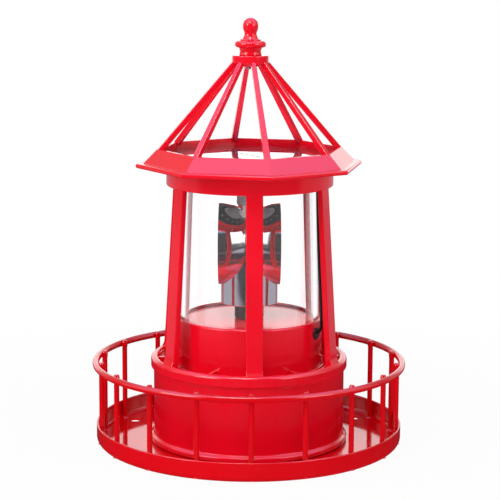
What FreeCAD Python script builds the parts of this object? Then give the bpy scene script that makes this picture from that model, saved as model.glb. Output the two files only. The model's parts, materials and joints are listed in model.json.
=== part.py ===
import FreeCAD, Part
import math
import os
from FreeCAD import Vector

# Solar garden lighthouse: a round steel gallery tray with a railing, a drum that holds the
# battery, a lantern with a clear cylinder and a turning two-faced reflector, and an open
# octagonal roof over a flat solar panel. Millimetres, +Z up, and the origin in the middle
# of the tray's underside. A heading is an angle in degrees from the front (-Y) towards +X.

os.makedirs("parts", exist_ok=True)

# ---- Driving dimensions: gallery ------------------------------------------------------
tray_radius = 94.0
tray_rim_height = 12.0
tray_sheet = 1.0
tray_corner_radius = 4.0
tray_pad_lift = 2.0             # the middle of the floor is pressed up, clear of screw heads
tray_pad_radius = 55.4
tray_opening_radius = 47.0
mounting_hole_radius = 3.2
mounting_hole_inset = 12.5      # from the tray's edge
mounting_hole_count = 3
rail_overhang = 0.2             # the rail's ring is this much wider than the tray
rail_wire_radius = 2.0
rail_height = 49.5
baluster_count = 18
baluster_radius = 1.6
baluster_weld_depth = 0.7
baluster_top_proud = 0.5
baluster_heading = 1.0
# ---- Driving dimensions: drum ---------------------------------------------------------
drum_radius = 58.6
drum_wall = 2.2
drum_height = 47.0
drum_deck = 2.0
drum_opening_radius = 34.0
foot_bead_height = 4.6
foot_bead_bulge = 2.1
boss_radius = 3.3
tray_screw_circle_radius = 50.6
plate_boss_circle_radius = 42.5
base_plate_thickness = 2.0
base_plate_gap = 0.4
# ---- Driving dimensions: battery and switch -------------------------------------------
cell_radius = 7.1
cell_length = 50.5
cell_gap = 0.9
compartment_wall = 1.6
compartment_offset = -8.0       # the compartment's middle, along Y
contact_room = 3.4
contact_plate = 0.5
cover_end_ledge = 7.0
cover_side_ledge = 1.2
cover_gap = 0.3
switch_length = 12.0
switch_width = 6.4
switch_height = 5.5
switch_offset = 32.0
switch_travel = 3.0
knob_length = 3.6
knob_width = 2.8
knob_drop = 1.6
slot_gap = 0.4
board_length = 26.0
board_width = 24.0
board_thickness = 1.6
board_drop = 5.6
board_circle_radius = 42.0
board_screw_circle_radius = 46.0
board_screw_swing = 12.0
# ---- Driving dimensions: light base and gearbox ---------------------------------------
base_radius = 44.8
base_wall = 2.0
base_rim_top = 78.7
base_recess = 1.6
base_rim_width = 1.5
base_boss_inset = 4.8           # from the light base's side
base_boss_height = 7.0
gearbox_radius = 34.5
gearbox_plate = 2.0
gearbox_floor = 55.0
gearbox_room = 11.0
gearbox_column_circle_radius = 31.0
gearbox_column_radius = 3.0
gear_module = 0.6
pinion_teeth = 12
idler_teeth = 40
output_teeth = 45
tooth_backlash = 0.16
wheel_thickness = 2.5
output_gear_thickness = 3.0
idler_heading = 150.0
motor_heading = 270.0           # from the idler to the motor
motor_radius = 12.0
motor_height = 18.0
motor_screw_inset = 4.5
motor_shaft_radius = 1.0
journal_radius = 1.2
output_shaft_radius = 2.0
bushing_radius = 4.0
bushing_flange = 1.5
running_gap = 0.03
press_gap = 0.01
gear_end_gap = 0.5
# ---- Driving dimensions: reflector ----------------------------------------------------
bowl_radius = 25.0
bowl_offset = 18.6              # from the spindle to the middle of each bowl
bowl_wall = 1.3
reflector_height = 123.3
cup_radius = 17.4
cup_bottom = 86.8
cup_web_lift = 7.2              # from the cup's edge up to its web
cup_web_thickness = 2.0
cup_sink = 11.3                 # the cup's wall reaches this near the bowls' middle
hub_radius = 8.9
hub_lift = 0.5
hub_neck_radius = 5.0
lamp_hole_radius = 6.5
# ---- Driving dimensions: lantern ------------------------------------------------------
post_count = 6
post_heading = 3.3
post_width = 10.0
post_thickness = 3.6
post_foot_radius = 57.3
post_foot_height = 54.0
post_top_radius = 50.4
post_flare = 1.9
post_flare_height = 11.0
bead_outer_radius = 60.3
bead_inner_radius = 55.3
bead_height = 7.0
moat_floor = 1.4
collar_gap = 0.3
collar_width = 1.5
collar_height = 3.0
rib_width = 2.4
rib_height = 5.6
frame_boss_circle_radius = 52.6
ring_radius = 50.7
ring_wall = 3.2
ring_bottom = 159.3
ring_top = 170.0
ring_edge_radius = 1.0
flange_inner_radius = 38.0
flange_thickness = 2.0
lens_gap = 0.3                  # between the lens and the light base's rim
lens_taper = 1.8
lens_wall = 3.2
lens_foot_radius = 1.2
ceiling_thickness = 2.0
ceiling_gap = 0.3
# ---- Driving dimensions: lamp ---------------------------------------------------------
holder_radius = 7.9
holder_flange_radius = 12.0
holder_flange = 1.6
holder_bottom = 147.4
sleeve_top_radius = 4.6
sleeve_bottom_radius = 3.3
sleeve_bottom = 138.0
lamp_radius = 2.5
lamp_length = 8.6
lamp_seat = 4.0
lead_radius = 0.3
lead_spacing = 2.54
lamp_board_radius = 11.0
lamp_board_thickness = 1.2
# ---- Driving dimensions: roof ---------------------------------------------------------
roof_sides = 8
roof_heading = 10.56
brim_corner_radius = 69.6
brim_thickness = 2.8
brim_bottom = 170.5
brim_edge_radius = 1.2
slope_foot_radius = 65.0
slope_top_radius = 56.8
slope_top = 181.6
roof_wall = 2.0
roof_floor_thickness = 1.6
panel_seat_lift = 3.4           # the roof's floor stands this high above the lantern
roof_boss_circle_radius = 44.1
roof_screw_length = 7.5
roof_boss_count = 4
roof_rib_foot_width = 3.9
roof_rib_top_width = 2.8
roof_rib_depth = 3.4
hub_plate_radius = 11.0
hub_plate_top = 237.6
hub_plate_thickness = 1.9
hub_cone_height = 4.6
hub_cone_radius = 6.4
panel_gap = 0.4
panel_thickness = 2.0
cell_thickness = 0.3
solar_cell_columns = 2
solar_cell_rows = 5
solar_cell_length = 36.0
solar_cell_width = 12.4
solar_cell_space = 1.2
# ---- Driving dimensions: finial -------------------------------------------------------
barrel_radius = 7.0
barrel_waist = 0.5
barrel_height = 4.6
disc_radius = 9.55
disc_height = 4.0
collar_disc_radius = 6.35
collar_disc_height = 1.1
neck_foot_radius = 4.3
neck_top_radius = 3.5
neck_height = 3.9
ball_radius = 4.75
ball_centre = 255.1
# ---- Driving dimensions: panel cable and screws ---------------------------------------
cable_radius = 1.0
cable_heading = 64.0
cable_clearance = 0.3
cable_hang = 1.8                # it hangs this far off the post's inner side
cable_top_height = 157.0
cable_middle_height = 120.0
cable_low_height = 84.0
grommet_radius = 2.6
grommet_lip = 1.0
screw_radius = 1.5
screw_head_radius = 2.8
screw_head_height = 1.6
screw_hole_gap = 0.2
base_screw_length = 10.0
deck_screw_length = 7.0
screw_drive_radius = 1.0
screw_drive_depth = 0.8
small_screw_radius = 1.0
small_screw_head_radius = 1.9
small_screw_head_height = 1.2
small_screw_length = 5.0

axis_up = Vector(0, 0, 1)
origin = Vector(0, 0, 0)


# ---- Helpers --------------------------------------------------------------------------
def polar(radius, heading, height=0.0):
    """Point at a distance from the lighthouse's axis, at a heading from the front."""
    turn = math.radians(heading)
    return Vector(radius * math.sin(turn), -radius * math.cos(turn), height)


def export(node, shape):
    """Write one named piece, or one group of like pieces."""
    shape.exportStep("parts/" + node + ".step")


def turned(shape, heading):
    """Copy of a shape made for the front, turned about the axis to a heading."""
    copy = shape.copy()
    copy.rotate(origin, axis_up, heading)
    return copy


def around(shape, count, first_heading):
    """Copies of a shape made for the front, spread evenly about the axis."""
    return [turned(shape, first_heading + 360.0 * place / count) for place in range(count)]


def outline(points):
    """Closed face in the upright plane Y = 0. A point is (r, z), or the middle and the end
    of an arc, ((r, z), (r, z))."""
    edges = []
    first = points[0]
    last = first
    for step in points[1:] + [first]:
        if isinstance(step[0], tuple):
            middle, end = step
            arc = Part.Arc(Vector(last[0], 0, last[1]), Vector(middle[0], 0, middle[1]),
                           Vector(end[0], 0, end[1]))
            edges.append(arc.toShape())
            last = end
        elif math.dist(last, step) > 1e-6:
            edges.append(Part.makeLine(Vector(last[0], 0, last[1]), Vector(step[0], 0, step[1])))
            last = step
    return Part.Face(Part.Wire(edges))


def arc_step(centre, radius, start, end):
    """An arc for outline(), by its centre (r, z), its radius and its two angles."""
    points = []
    for angle in ((start + end) / 2.0, end):
        turn = math.radians(angle)
        points.append((centre[0] + radius * math.cos(turn), centre[1] + radius * math.sin(turn)))
    return tuple(points)


def spun(points):
    """Solid of revolution of an outline about the lighthouse's axis."""
    return outline(points).revolve(origin, axis_up, 360)


def disc(radius, bottom, top, centre=origin):
    """Upright cylinder between two heights."""
    return Part.makeCylinder(radius, top - bottom, Vector(centre.x, centre.y, bottom))


def tube(outer, inner, bottom, top):
    """Upright ring between two heights."""
    return disc(outer, bottom, top).cut(disc(inner, bottom, top))


def block(length, width, bottom, top, centre=origin):
    """Upright box about a centre point."""
    corner = Vector(centre.x - length / 2.0, centre.y - width / 2.0, bottom)
    return Part.makeBox(length, width, top - bottom, corner)


def octagon(corner_radius, height):
    """Closed wire through the roof's corners at one height."""
    step = 360.0 / roof_sides
    corners = [polar(corner_radius, roof_heading + step * side, height) for side in range(roof_sides)]
    return Part.makePolygon(corners + corners[:1])


def frustum(low_radius, low, high_radius, high):
    """Octagonal solid between two heights, with a corner radius at each."""
    return Part.makeLoft([octagon(low_radius, low), octagon(high_radius, high)], True, True)


def screw(seat, length, pointing_up=True, radius=screw_radius, head_radius=screw_head_radius,
          head_height=screw_head_height, drive=True):
    """Pan-head screw whose head lies against a seat point, with its shank beyond it."""
    direction = 1.0 if pointing_up else -1.0
    shank = Part.makeCylinder(radius, length, seat, Vector(0, 0, direction))
    head = Part.makeCylinder(head_radius, head_height, seat, Vector(0, 0, -direction))
    body = shank.fuse(head)
    if drive:
        recess_start = seat + Vector(0, 0, -direction * head_height)
        recess = Part.makeCylinder(screw_drive_radius, screw_drive_depth, recess_start,
                                   Vector(0, 0, direction))
        body = body.cut(recess)
    return body


def small_screw(seat, pointing_up):
    return screw(seat, small_screw_length, pointing_up, small_screw_radius - 0.2,
                 small_screw_head_radius, small_screw_head_height, False)


def involute(angle):
    return math.tan(angle) - angle


def gear(teeth, bottom, top, bore, centre, phase):
    """Spur gear with involute flanks at 20 degrees, with one tooth at a phase in degrees
    from +X, anticlockwise."""
    pressure = math.radians(20.0)
    pitch = gear_module * teeth / 2.0
    base = pitch * math.cos(pressure)
    tip = pitch + 0.85 * gear_module
    root = pitch - 1.3 * gear_module
    half_at_pitch = math.pi / (2.0 * teeth) - tooth_backlash / (2.0 * pitch)

    def half_angle(radius):
        if radius <= base:
            return half_at_pitch + involute(pressure)
        return half_at_pitch + involute(pressure) - involute(math.acos(base / radius))

    radii = [root, max(base, root + 0.1 * gear_module), pitch, tip]
    points = []
    for tooth in range(teeth):
        middle = math.radians(phase) + 2.0 * math.pi * tooth / teeth
        flank = [(radius, middle - half_angle(radius)) for radius in radii]
        flank += [(radius, middle + half_angle(radius)) for radius in reversed(radii)]
        for radius, angle in flank:
            points.append(Vector(centre.x + radius * math.cos(angle),
                                 centre.y + radius * math.sin(angle), bottom))
    profile = Part.Face(Part.makePolygon(points + points[:1]))
    solid = profile.extrude(Vector(0, 0, top - bottom))
    if bore > 0:
        solid = solid.cut(disc(bore, bottom, top, centre))
    return solid


def rounded_path(points):
    """Wire of straight runs joined by tangent arcs, each as large as its two runs allow."""
    runs = [(points[place + 1] - points[place]) for place in range(len(points) - 1)]
    edges = []
    radii = []
    start = points[0]
    for place in range(1, len(points) - 1):
        before = runs[place - 1]
        after = runs[place]
        turn = before.getAngle(after)
        setback = 0.45 * min(before.Length, after.Length)
        radius = setback / math.tan(turn / 2.0)
        radii.append(radius)
        corner = points[place]
        arc_start = corner - Vector(before).normalize() * setback
        arc_end = corner + Vector(after).normalize() * setback
        inward = (Vector(after).normalize() - Vector(before).normalize()).normalize()
        middle_reach = radius / math.cos(turn / 2.0) - radius
        arc_middle = corner + inward * middle_reach
        edges.append(Part.LineSegment(start, arc_start).toShape())
        edges.append(Part.Arc(arc_start, arc_middle, arc_end).toShape())
        start = arc_end
    edges.append(Part.LineSegment(start, points[-1]).toShape())
    return Part.Wire(edges), radii


# ---- Heights and places that follow from the driving dimensions ----------------------
mounting_hole_circle_radius = tray_radius - mounting_hole_inset
rail_ring_radius = tray_radius + rail_overhang
base_boss_circle_radius = base_radius - base_boss_inset
lens_bottom_radius = base_radius - base_rim_width - lens_gap
lens_top_radius = lens_bottom_radius - lens_taper
cup_web = cup_bottom + cup_web_lift
cup_top = reflector_height - cup_sink
pad_bottom = tray_pad_lift
pad_top = tray_pad_lift + tray_sheet
plate_bottom = pad_top
plate_top = plate_bottom + base_plate_thickness
deck_bottom = drum_height - drum_deck
base_floor = base_rim_top - base_recess             # the glossy top of the light base
base_top_under = base_floor - base_wall
gearbox_floor_top = gearbox_floor + gearbox_plate
gearbox_ceiling = gearbox_floor_top + gearbox_room
gearbox_top = gearbox_ceiling + gearbox_plate
flange_bottom = ring_top - 2.5 - flange_thickness
ceiling_top = flange_bottom
ceiling_bottom = ceiling_top - ceiling_thickness
lens_bottom = base_floor
lens_top = ceiling_bottom
roof_floor_bottom = ring_top + panel_seat_lift
roof_floor_top = roof_floor_bottom + roof_floor_thickness
opening_corner_radius = slope_top_radius - roof_wall / math.cos(math.pi / roof_sides)
post_step = 360.0 / post_count
shaft_top = cup_web - 2.0
base_post_headings = [post_heading + 2.0 * post_step * place for place in range(3)]
side_post_headings = [post_heading + post_step + 2.0 * post_step * place for place in range(3)]


# ---- Gallery: tray, rail and balusters ------------------------------------------------
def make_deck_tray():
    half = tray_sheet / 2.0
    inner_corner = tray_corner_radius - tray_sheet
    corner = (tray_radius - tray_corner_radius, tray_corner_radius)
    body = spun([
        (tray_opening_radius, pad_bottom),
        (tray_pad_radius - tray_pad_lift, pad_bottom),
        (tray_pad_radius, 0.0),
        (tray_radius - tray_corner_radius, 0.0),
        arc_step(corner, tray_corner_radius, -90, 0),
        (tray_radius, tray_rim_height - half),
        arc_step((tray_radius - half, tray_rim_height - half), half, 0, 180),
        (tray_radius - tray_sheet, tray_corner_radius),
        arc_step(corner, inner_corner, 0, -90),
        (tray_pad_radius + 0.4 * tray_sheet, tray_sheet),
        (tray_pad_radius + 0.4 * tray_sheet - tray_pad_lift, pad_top),
        (tray_opening_radius, pad_top),
    ])
    step = 360.0 / mounting_hole_count
    for place in range(mounting_hole_count):
        centre = polar(mounting_hole_circle_radius, post_heading + step * place)
        body = body.cut(disc(mounting_hole_radius, -1.0, tray_sheet + 1.0, centre))
    for heading in base_post_headings:
        centre = polar(tray_screw_circle_radius, heading)
        body = body.cut(disc(screw_radius + screw_hole_gap, pad_bottom - 1.0, pad_top + 1.0, centre))
    export("deck_tray", body)
    return body


def make_gallery_railing(tray):
    ring = Part.makeTorus(rail_ring_radius, rail_wire_radius, Vector(0, 0, rail_height))
    export("gallery_rail", ring)
    centre_radius = rail_ring_radius - rail_wire_radius - baluster_radius + baluster_weld_depth
    top = rail_height + rail_wire_radius + baluster_top_proud
    rod = disc(baluster_radius, tray_sheet, top, polar(centre_radius, 0.0)).cut([ring, tray])
    rod = max(rod.Solids, key=lambda solid: solid.Volume)
    for place, copy in enumerate(around(rod, baluster_count, baluster_heading)):
        export("baluster_%02d" % (place + 1), copy)


# ---- Drum -----------------------------------------------------------------------------
def make_drum_housing():
    inside = drum_radius - drum_wall
    bead_half = foot_bead_height / 2.0
    bead_middle = tray_sheet + bead_half
    shell = spun([
        (inside, tray_sheet),
        (drum_radius + 0.2, tray_sheet),
        ((drum_radius + foot_bead_bulge, bead_middle), (drum_radius, tray_sheet + foot_bead_height)),
        (drum_radius, drum_height),
        (drum_opening_radius, drum_height),
        (drum_opening_radius, deck_bottom),
        (inside, deck_bottom),
    ])
    pilot = screw_radius - screw_hole_gap
    circles = [(tray_screw_circle_radius, heading) for heading in base_post_headings]
    circles += [(plate_boss_circle_radius, heading + 30.0) for heading in side_post_headings]
    for circle, heading in circles:
        centre = polar(circle, heading)
        shell = shell.fuse(disc(boss_radius, plate_top, deck_bottom, centre))
        shell = shell.cut(disc(pilot, plate_top, plate_top + 12.0, centre))
    hole = screw_radius + screw_hole_gap
    for heading in base_post_headings:
        shell = shell.cut(disc(hole, deck_bottom, drum_height, polar(base_boss_circle_radius, heading)))
    for heading in side_post_headings:
        shell = shell.cut(disc(hole, deck_bottom, drum_height, polar(frame_boss_circle_radius, heading)))
    for centre in board_screw_places():
        post = disc(small_screw_radius + 1.4, deck_bottom - board_drop, deck_bottom, centre)
        shell = shell.fuse(post)
        shell = shell.cut(disc(small_screw_radius - 0.2, deck_bottom - board_drop, deck_bottom, centre))
    export("drum_housing", shell.removeSplitter())


def board_screw_places():
    return [polar(board_screw_circle_radius, cable_heading + side * board_screw_swing)
            for side in (-1.0, 1.0)]


def make_control_board():
    top = deck_bottom - board_drop
    centre = polar(board_circle_radius, 0.0)
    board = block(board_length, board_width, top - board_thickness, top, centre)
    chip = block(6.0, 6.0, top - board_thickness - 1.5, top - board_thickness, centre)
    board = turned(board, cable_heading)
    hole = small_screw_radius + 0.1
    for centre in board_screw_places():
        board = board.cut(disc(hole, top - board_thickness, top, centre))
    export("control_board", board.fuse(turned(chip, cable_heading)))
    return [small_screw(Vector(centre.x, centre.y, top - board_thickness), True)
            for centre in board_screw_places()]


compartment_length = cell_length + 2.0 * contact_room
compartment_width = 2.0 * (cell_radius + cell_gap)
compartment_centre = Vector(0, compartment_offset, 0)
compartment_ceiling = plate_top + 2.0 * cell_radius + 2.0 * cell_gap
cell_height = plate_top + cell_gap + cell_radius
cover_length = compartment_length + 2.0 * cover_end_ledge
cover_width = compartment_width + 2.0 * cover_side_ledge
cover_screw_place = Vector(compartment_length / 2.0 + cover_end_ledge / 2.0, compartment_offset, 0)
end_block_height = 6.0


def make_base_plate():
    plate_radius = drum_radius - drum_wall - base_plate_gap
    plate = disc(plate_radius, plate_bottom, plate_top)
    plate = plate.cut(block(cover_length, cover_width, plate_bottom, plate_top, compartment_centre))
    wall = 2.0 * compartment_wall
    box = block(compartment_length + wall, compartment_width + wall, plate_top,
                compartment_ceiling + compartment_wall, compartment_centre)
    ends = block(cover_length + wall, compartment_width + wall, plate_top,
                 plate_top + end_block_height, compartment_centre)
    box = box.fuse(ends)
    box = box.cut(block(compartment_length, compartment_width, plate_top, compartment_ceiling,
                        compartment_centre))
    box = box.cut(disc(small_screw_radius - 0.1, plate_top, plate_top + end_block_height - 1.0,
                       cover_screw_place))
    plate = plate.fuse(box)
    hole = screw_radius + screw_hole_gap
    for heading in base_post_headings:
        plate = plate.cut(disc(hole, plate_bottom, plate_top, polar(tray_screw_circle_radius, heading)))
    for heading in side_post_headings:
        centre = polar(plate_boss_circle_radius, heading + 30.0)
        plate = plate.cut(disc(hole, plate_bottom, plate_top, centre))
    slot_length = knob_length + switch_travel + 2.0 * slot_gap
    slot_centre = Vector(0, switch_offset, 0)
    plate = plate.cut(block(slot_length, knob_width + 2.0 * slot_gap, plate_bottom, plate_top,
                            slot_centre))
    export("base_plate", plate.removeSplitter())


def make_battery():
    clear = 2.0 * cover_gap
    cover = block(cover_length - clear, cover_width - clear, plate_bottom, plate_top,
                  compartment_centre)
    cover = cover.cut(disc(small_screw_radius + 0.1, plate_bottom, plate_top, cover_screw_place))
    export("battery_cover", cover)
    start = Vector(-cell_length / 2.0, compartment_offset, cell_height)
    along = Vector(1, 0, 0)
    can = Part.makeCylinder(cell_radius, cell_length - 1.2, start, along)
    button = Part.makeCylinder(2.6, cell_length, start, along)
    export("battery_cell", can.fuse(button))
    half = compartment_length / 2.0
    plate = Part.makeBox(contact_plate, 11.0, 11.0,
                         Vector(half - contact_plate, compartment_offset - 5.5, cell_height - 5.5))
    dome_length = half - contact_plate - cell_length / 2.0
    dome = Part.makeCone(1.6, 3.0, dome_length,
                         Vector(cell_length / 2.0, compartment_offset, cell_height), along)
    coil_seat = Part.makeBox(contact_plate, 11.0, 11.0,
                             Vector(-half, compartment_offset - 5.5, cell_height - 5.5))
    coil = Part.makeCone(4.6, 3.0, half - contact_plate - cell_length / 2.0,
                         Vector(-half + contact_plate, compartment_offset, cell_height), along)
    contacts = [plate.fuse(dome), coil_seat.fuse(coil)]
    export("battery_contacts", Part.makeCompound(contacts))
    seat = Vector(cover_screw_place.x, cover_screw_place.y, plate_bottom)
    export("battery_cover_screw", screw(seat, base_plate_thickness + end_block_height - 2.0, True,
                                        small_screw_radius - 0.1, small_screw_head_radius,
                                        small_screw_head_height))


def make_switch():
    centre = Vector(0, switch_offset, 0)
    body = block(switch_length, switch_width, plate_top, plate_top + switch_height, centre)
    pocket_length = knob_length + switch_travel + 2.0 * slot_gap
    body = body.cut(block(pocket_length, knob_width + 2.0 * slot_gap, plate_top,
                          plate_top + switch_height - 1.0, centre))
    export("switch_body", body)
    knob_centre = Vector(-switch_travel / 2.0, switch_offset, 0)
    knob = block(knob_length, knob_width, plate_bottom - knob_drop,
                 plate_top + switch_height - 1.3, knob_centre)
    export("switch_knob", knob)


# ---- Light base -----------------------------------------------------------------------
def make_light_base():
    inside = base_radius - base_wall
    edge = 0.6
    shell = spun([
        (inside, drum_height),
        (base_radius, drum_height),
        (base_radius, base_rim_top - edge),
        arc_step((base_radius - edge, base_rim_top - edge), edge, 0, 90),
        (base_radius - base_rim_width, base_rim_top),
        (base_radius - base_rim_width, base_floor),
        (bushing_radius + press_gap, base_floor),
        (bushing_radius + press_gap, base_top_under),
        (inside, base_top_under),
    ])
    pilot = screw_radius - screw_hole_gap
    for heading in base_post_headings:
        centre = polar(base_boss_circle_radius, heading)
        boss = disc(boss_radius, drum_height, drum_height + base_boss_height, centre)
        shell = shell.fuse(boss.common(disc(inside + 0.5, 0, base_rim_top)))
        shell = shell.cut(disc(pilot, drum_height, drum_height + base_boss_height - 1.0, centre))
    for centre in gearbox_columns():
        shell = shell.fuse(disc(gearbox_column_radius, gearbox_top, base_top_under, centre))
        shell = shell.cut(disc(pilot, gearbox_top, base_top_under - 0.4, centre))
    entry = cable_entry()
    inward = polar(-1.0, cable_heading)
    shell = shell.cut(Part.makeCylinder(grommet_radius, 8.0, entry - inward * 3.0, inward))
    export("light_base", shell.removeSplitter())


# ---- Gearbox and motor ----------------------------------------------------------------
def gearbox_columns():
    return [polar(gearbox_column_circle_radius, heading) for heading in (60.0, 180.0, 300.0)]


def pair_distance(teeth_a, teeth_b):
    return gear_module * (teeth_a + teeth_b) / 2.0


idler_centre = polar(pair_distance(output_teeth, pinion_teeth), idler_heading)
motor_centre = idler_centre + polar(pair_distance(idler_teeth, pinion_teeth), motor_heading)
wheel_bottom = gearbox_floor_top + gear_end_gap + 1.0
wheel_top = wheel_bottom + wheel_thickness
output_gear_bottom = wheel_top + gear_end_gap + 1.0
output_gear_top = output_gear_bottom + output_gear_thickness


def bearing_angle(from_centre, to_centre):
    """Direction between two axles in degrees from +X, anticlockwise."""
    return math.degrees(math.atan2(to_centre.y - from_centre.y, to_centre.x - from_centre.x))


def make_gearbox():
    floor = disc(gearbox_radius, gearbox_floor, gearbox_floor_top)
    cover = disc(gearbox_radius, gearbox_ceiling, gearbox_top)
    hole = screw_radius + screw_hole_gap
    for centre in gearbox_columns():
        floor = floor.fuse(disc(gearbox_column_radius, gearbox_floor_top, gearbox_ceiling, centre))
        floor = floor.cut(disc(hole, gearbox_floor, gearbox_ceiling, centre))
        cover = cover.cut(disc(hole, gearbox_ceiling, gearbox_top, centre))
    floor = floor.cut(disc(output_shaft_radius + running_gap, gearbox_floor, gearbox_floor_top))
    floor = floor.cut(disc(journal_radius + running_gap, gearbox_floor, gearbox_floor_top,
                           idler_centre))
    floor = floor.cut(disc(motor_shaft_radius + 1.5, gearbox_floor, gearbox_floor_top, motor_centre))
    cover = cover.cut(disc(bushing_radius + press_gap, gearbox_ceiling, gearbox_top))
    cover = cover.cut(disc(journal_radius + running_gap, gearbox_ceiling, gearbox_top, idler_centre))
    motor_screw_seats = [motor_centre + Vector(0, side * (motor_radius - motor_screw_inset), 0)
                         for side in (-1.0, 1.0)]
    for place in motor_screw_seats:
        floor = floor.cut(disc(small_screw_radius + 0.1, gearbox_floor, gearbox_floor_top, place))
    export("gearbox_base", floor.removeSplitter())
    export("gearbox_cover", cover)
    shank = gearbox_top - gearbox_floor + 3.6
    export("gearbox_screws", Part.makeCompound(
        [screw(Vector(centre.x, centre.y, gearbox_floor), shank, True,
               screw_radius - screw_hole_gap) for centre in gearbox_columns()]))
    can = disc(motor_radius, gearbox_floor - motor_height, gearbox_floor, motor_centre)
    can = can.cut(disc(motor_shaft_radius + 0.6, gearbox_floor - 2.0, gearbox_floor, motor_centre))
    for place in motor_screw_seats:
        can = can.cut(disc(small_screw_radius - 0.2, gearbox_floor - 3.5, gearbox_floor, place))
    export("motor_can", can)
    shaft_bottom = gearbox_floor - 1.8
    pinion = gear(pinion_teeth, wheel_bottom - 0.5, wheel_top + 0.5, 0.0, motor_centre,
                  bearing_angle(motor_centre, idler_centre))
    pinion = pinion.fuse(disc(motor_shaft_radius, shaft_bottom, wheel_top + 0.5, motor_centre))
    export("motor_pinion", pinion)
    return [small_screw(Vector(place.x, place.y, gearbox_floor_top), False)
            for place in motor_screw_seats]


def make_gears():
    to_motor = bearing_angle(idler_centre, motor_centre)
    to_output = bearing_angle(idler_centre, origin)
    wheel = gear(idler_teeth, wheel_bottom, wheel_top, 0.0, idler_centre,
                 to_motor + 180.0 / idler_teeth)
    small = gear(pinion_teeth, wheel_top, output_gear_top + 0.5, 0.0, idler_centre, to_output)
    shoulder = disc(journal_radius + 1.0, gearbox_floor_top + gear_end_gap,
                    gearbox_ceiling - gear_end_gap, idler_centre)
    journal = disc(journal_radius, gearbox_floor, gearbox_top - 0.2, idler_centre)
    export("idler_gear", wheel.fuse([small, shoulder, journal]))
    output = gear(output_teeth, output_gear_bottom, output_gear_top,
                  output_shaft_radius + press_gap, origin, to_output + 180.0 + 180.0 / output_teeth)
    export("output_gear", output)
    export("output_shaft", disc(output_shaft_radius, gearbox_floor, shaft_top))
    bore = output_shaft_radius + running_gap
    bush = tube(bushing_radius, bore, gearbox_ceiling - 0.2, base_floor)
    flange = tube(bushing_radius + bushing_flange, bore, gearbox_ceiling - 1.2, gearbox_ceiling)
    export("spindle_bushing", bush.fuse(flange))


# ---- Turning reflector ----------------------------------------------------------------
def bowl_pair(radius):
    spheres = [Part.makeSphere(radius, Vector(side * bowl_offset, 0, reflector_height))
               for side in (-1.0, 1.0)]
    return spheres[0].fuse(spheres[1])


def make_reflector():
    slab = block(2.0 * bowl_offset, 3.0 * bowl_radius, reflector_height - 2.0 * bowl_radius,
                 reflector_height + 2.0 * bowl_radius)
    room = bowl_pair(bowl_radius - bowl_wall)
    bowls = bowl_pair(bowl_radius).common(slab)
    cup = tube(cup_radius, cup_radius - bowl_wall, cup_bottom, cup_top)
    web = disc(cup_radius - 0.1, cup_web, cup_web + cup_web_thickness)
    head = bowls.fuse([cup, web]).cut(room)
    head = head.cut(disc(lamp_hole_radius, reflector_height, reflector_height + bowl_radius))
    head = head.cut(disc(hub_neck_radius, cup_web, cup_web + cup_web_thickness))
    reach = 4.0 * bowl_radius
    low_half = block(reach, reach, cup_bottom - 1.0, reflector_height)
    high_half = block(reach, reach, reflector_height, reflector_height + reach)
    export("reflector_lower", head.common(low_half).removeSplitter())
    export("reflector_upper", head.common(high_half).removeSplitter())
    hub_bottom = base_floor + hub_lift
    hub = disc(hub_radius, hub_bottom, cup_web)
    hub = hub.fuse(disc(hub_neck_radius - press_gap, cup_web, cup_web + cup_web_thickness))
    hub = hub.cut(disc(output_shaft_radius + press_gap, hub_bottom, shaft_top))
    export("spindle_hub", hub)


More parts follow.
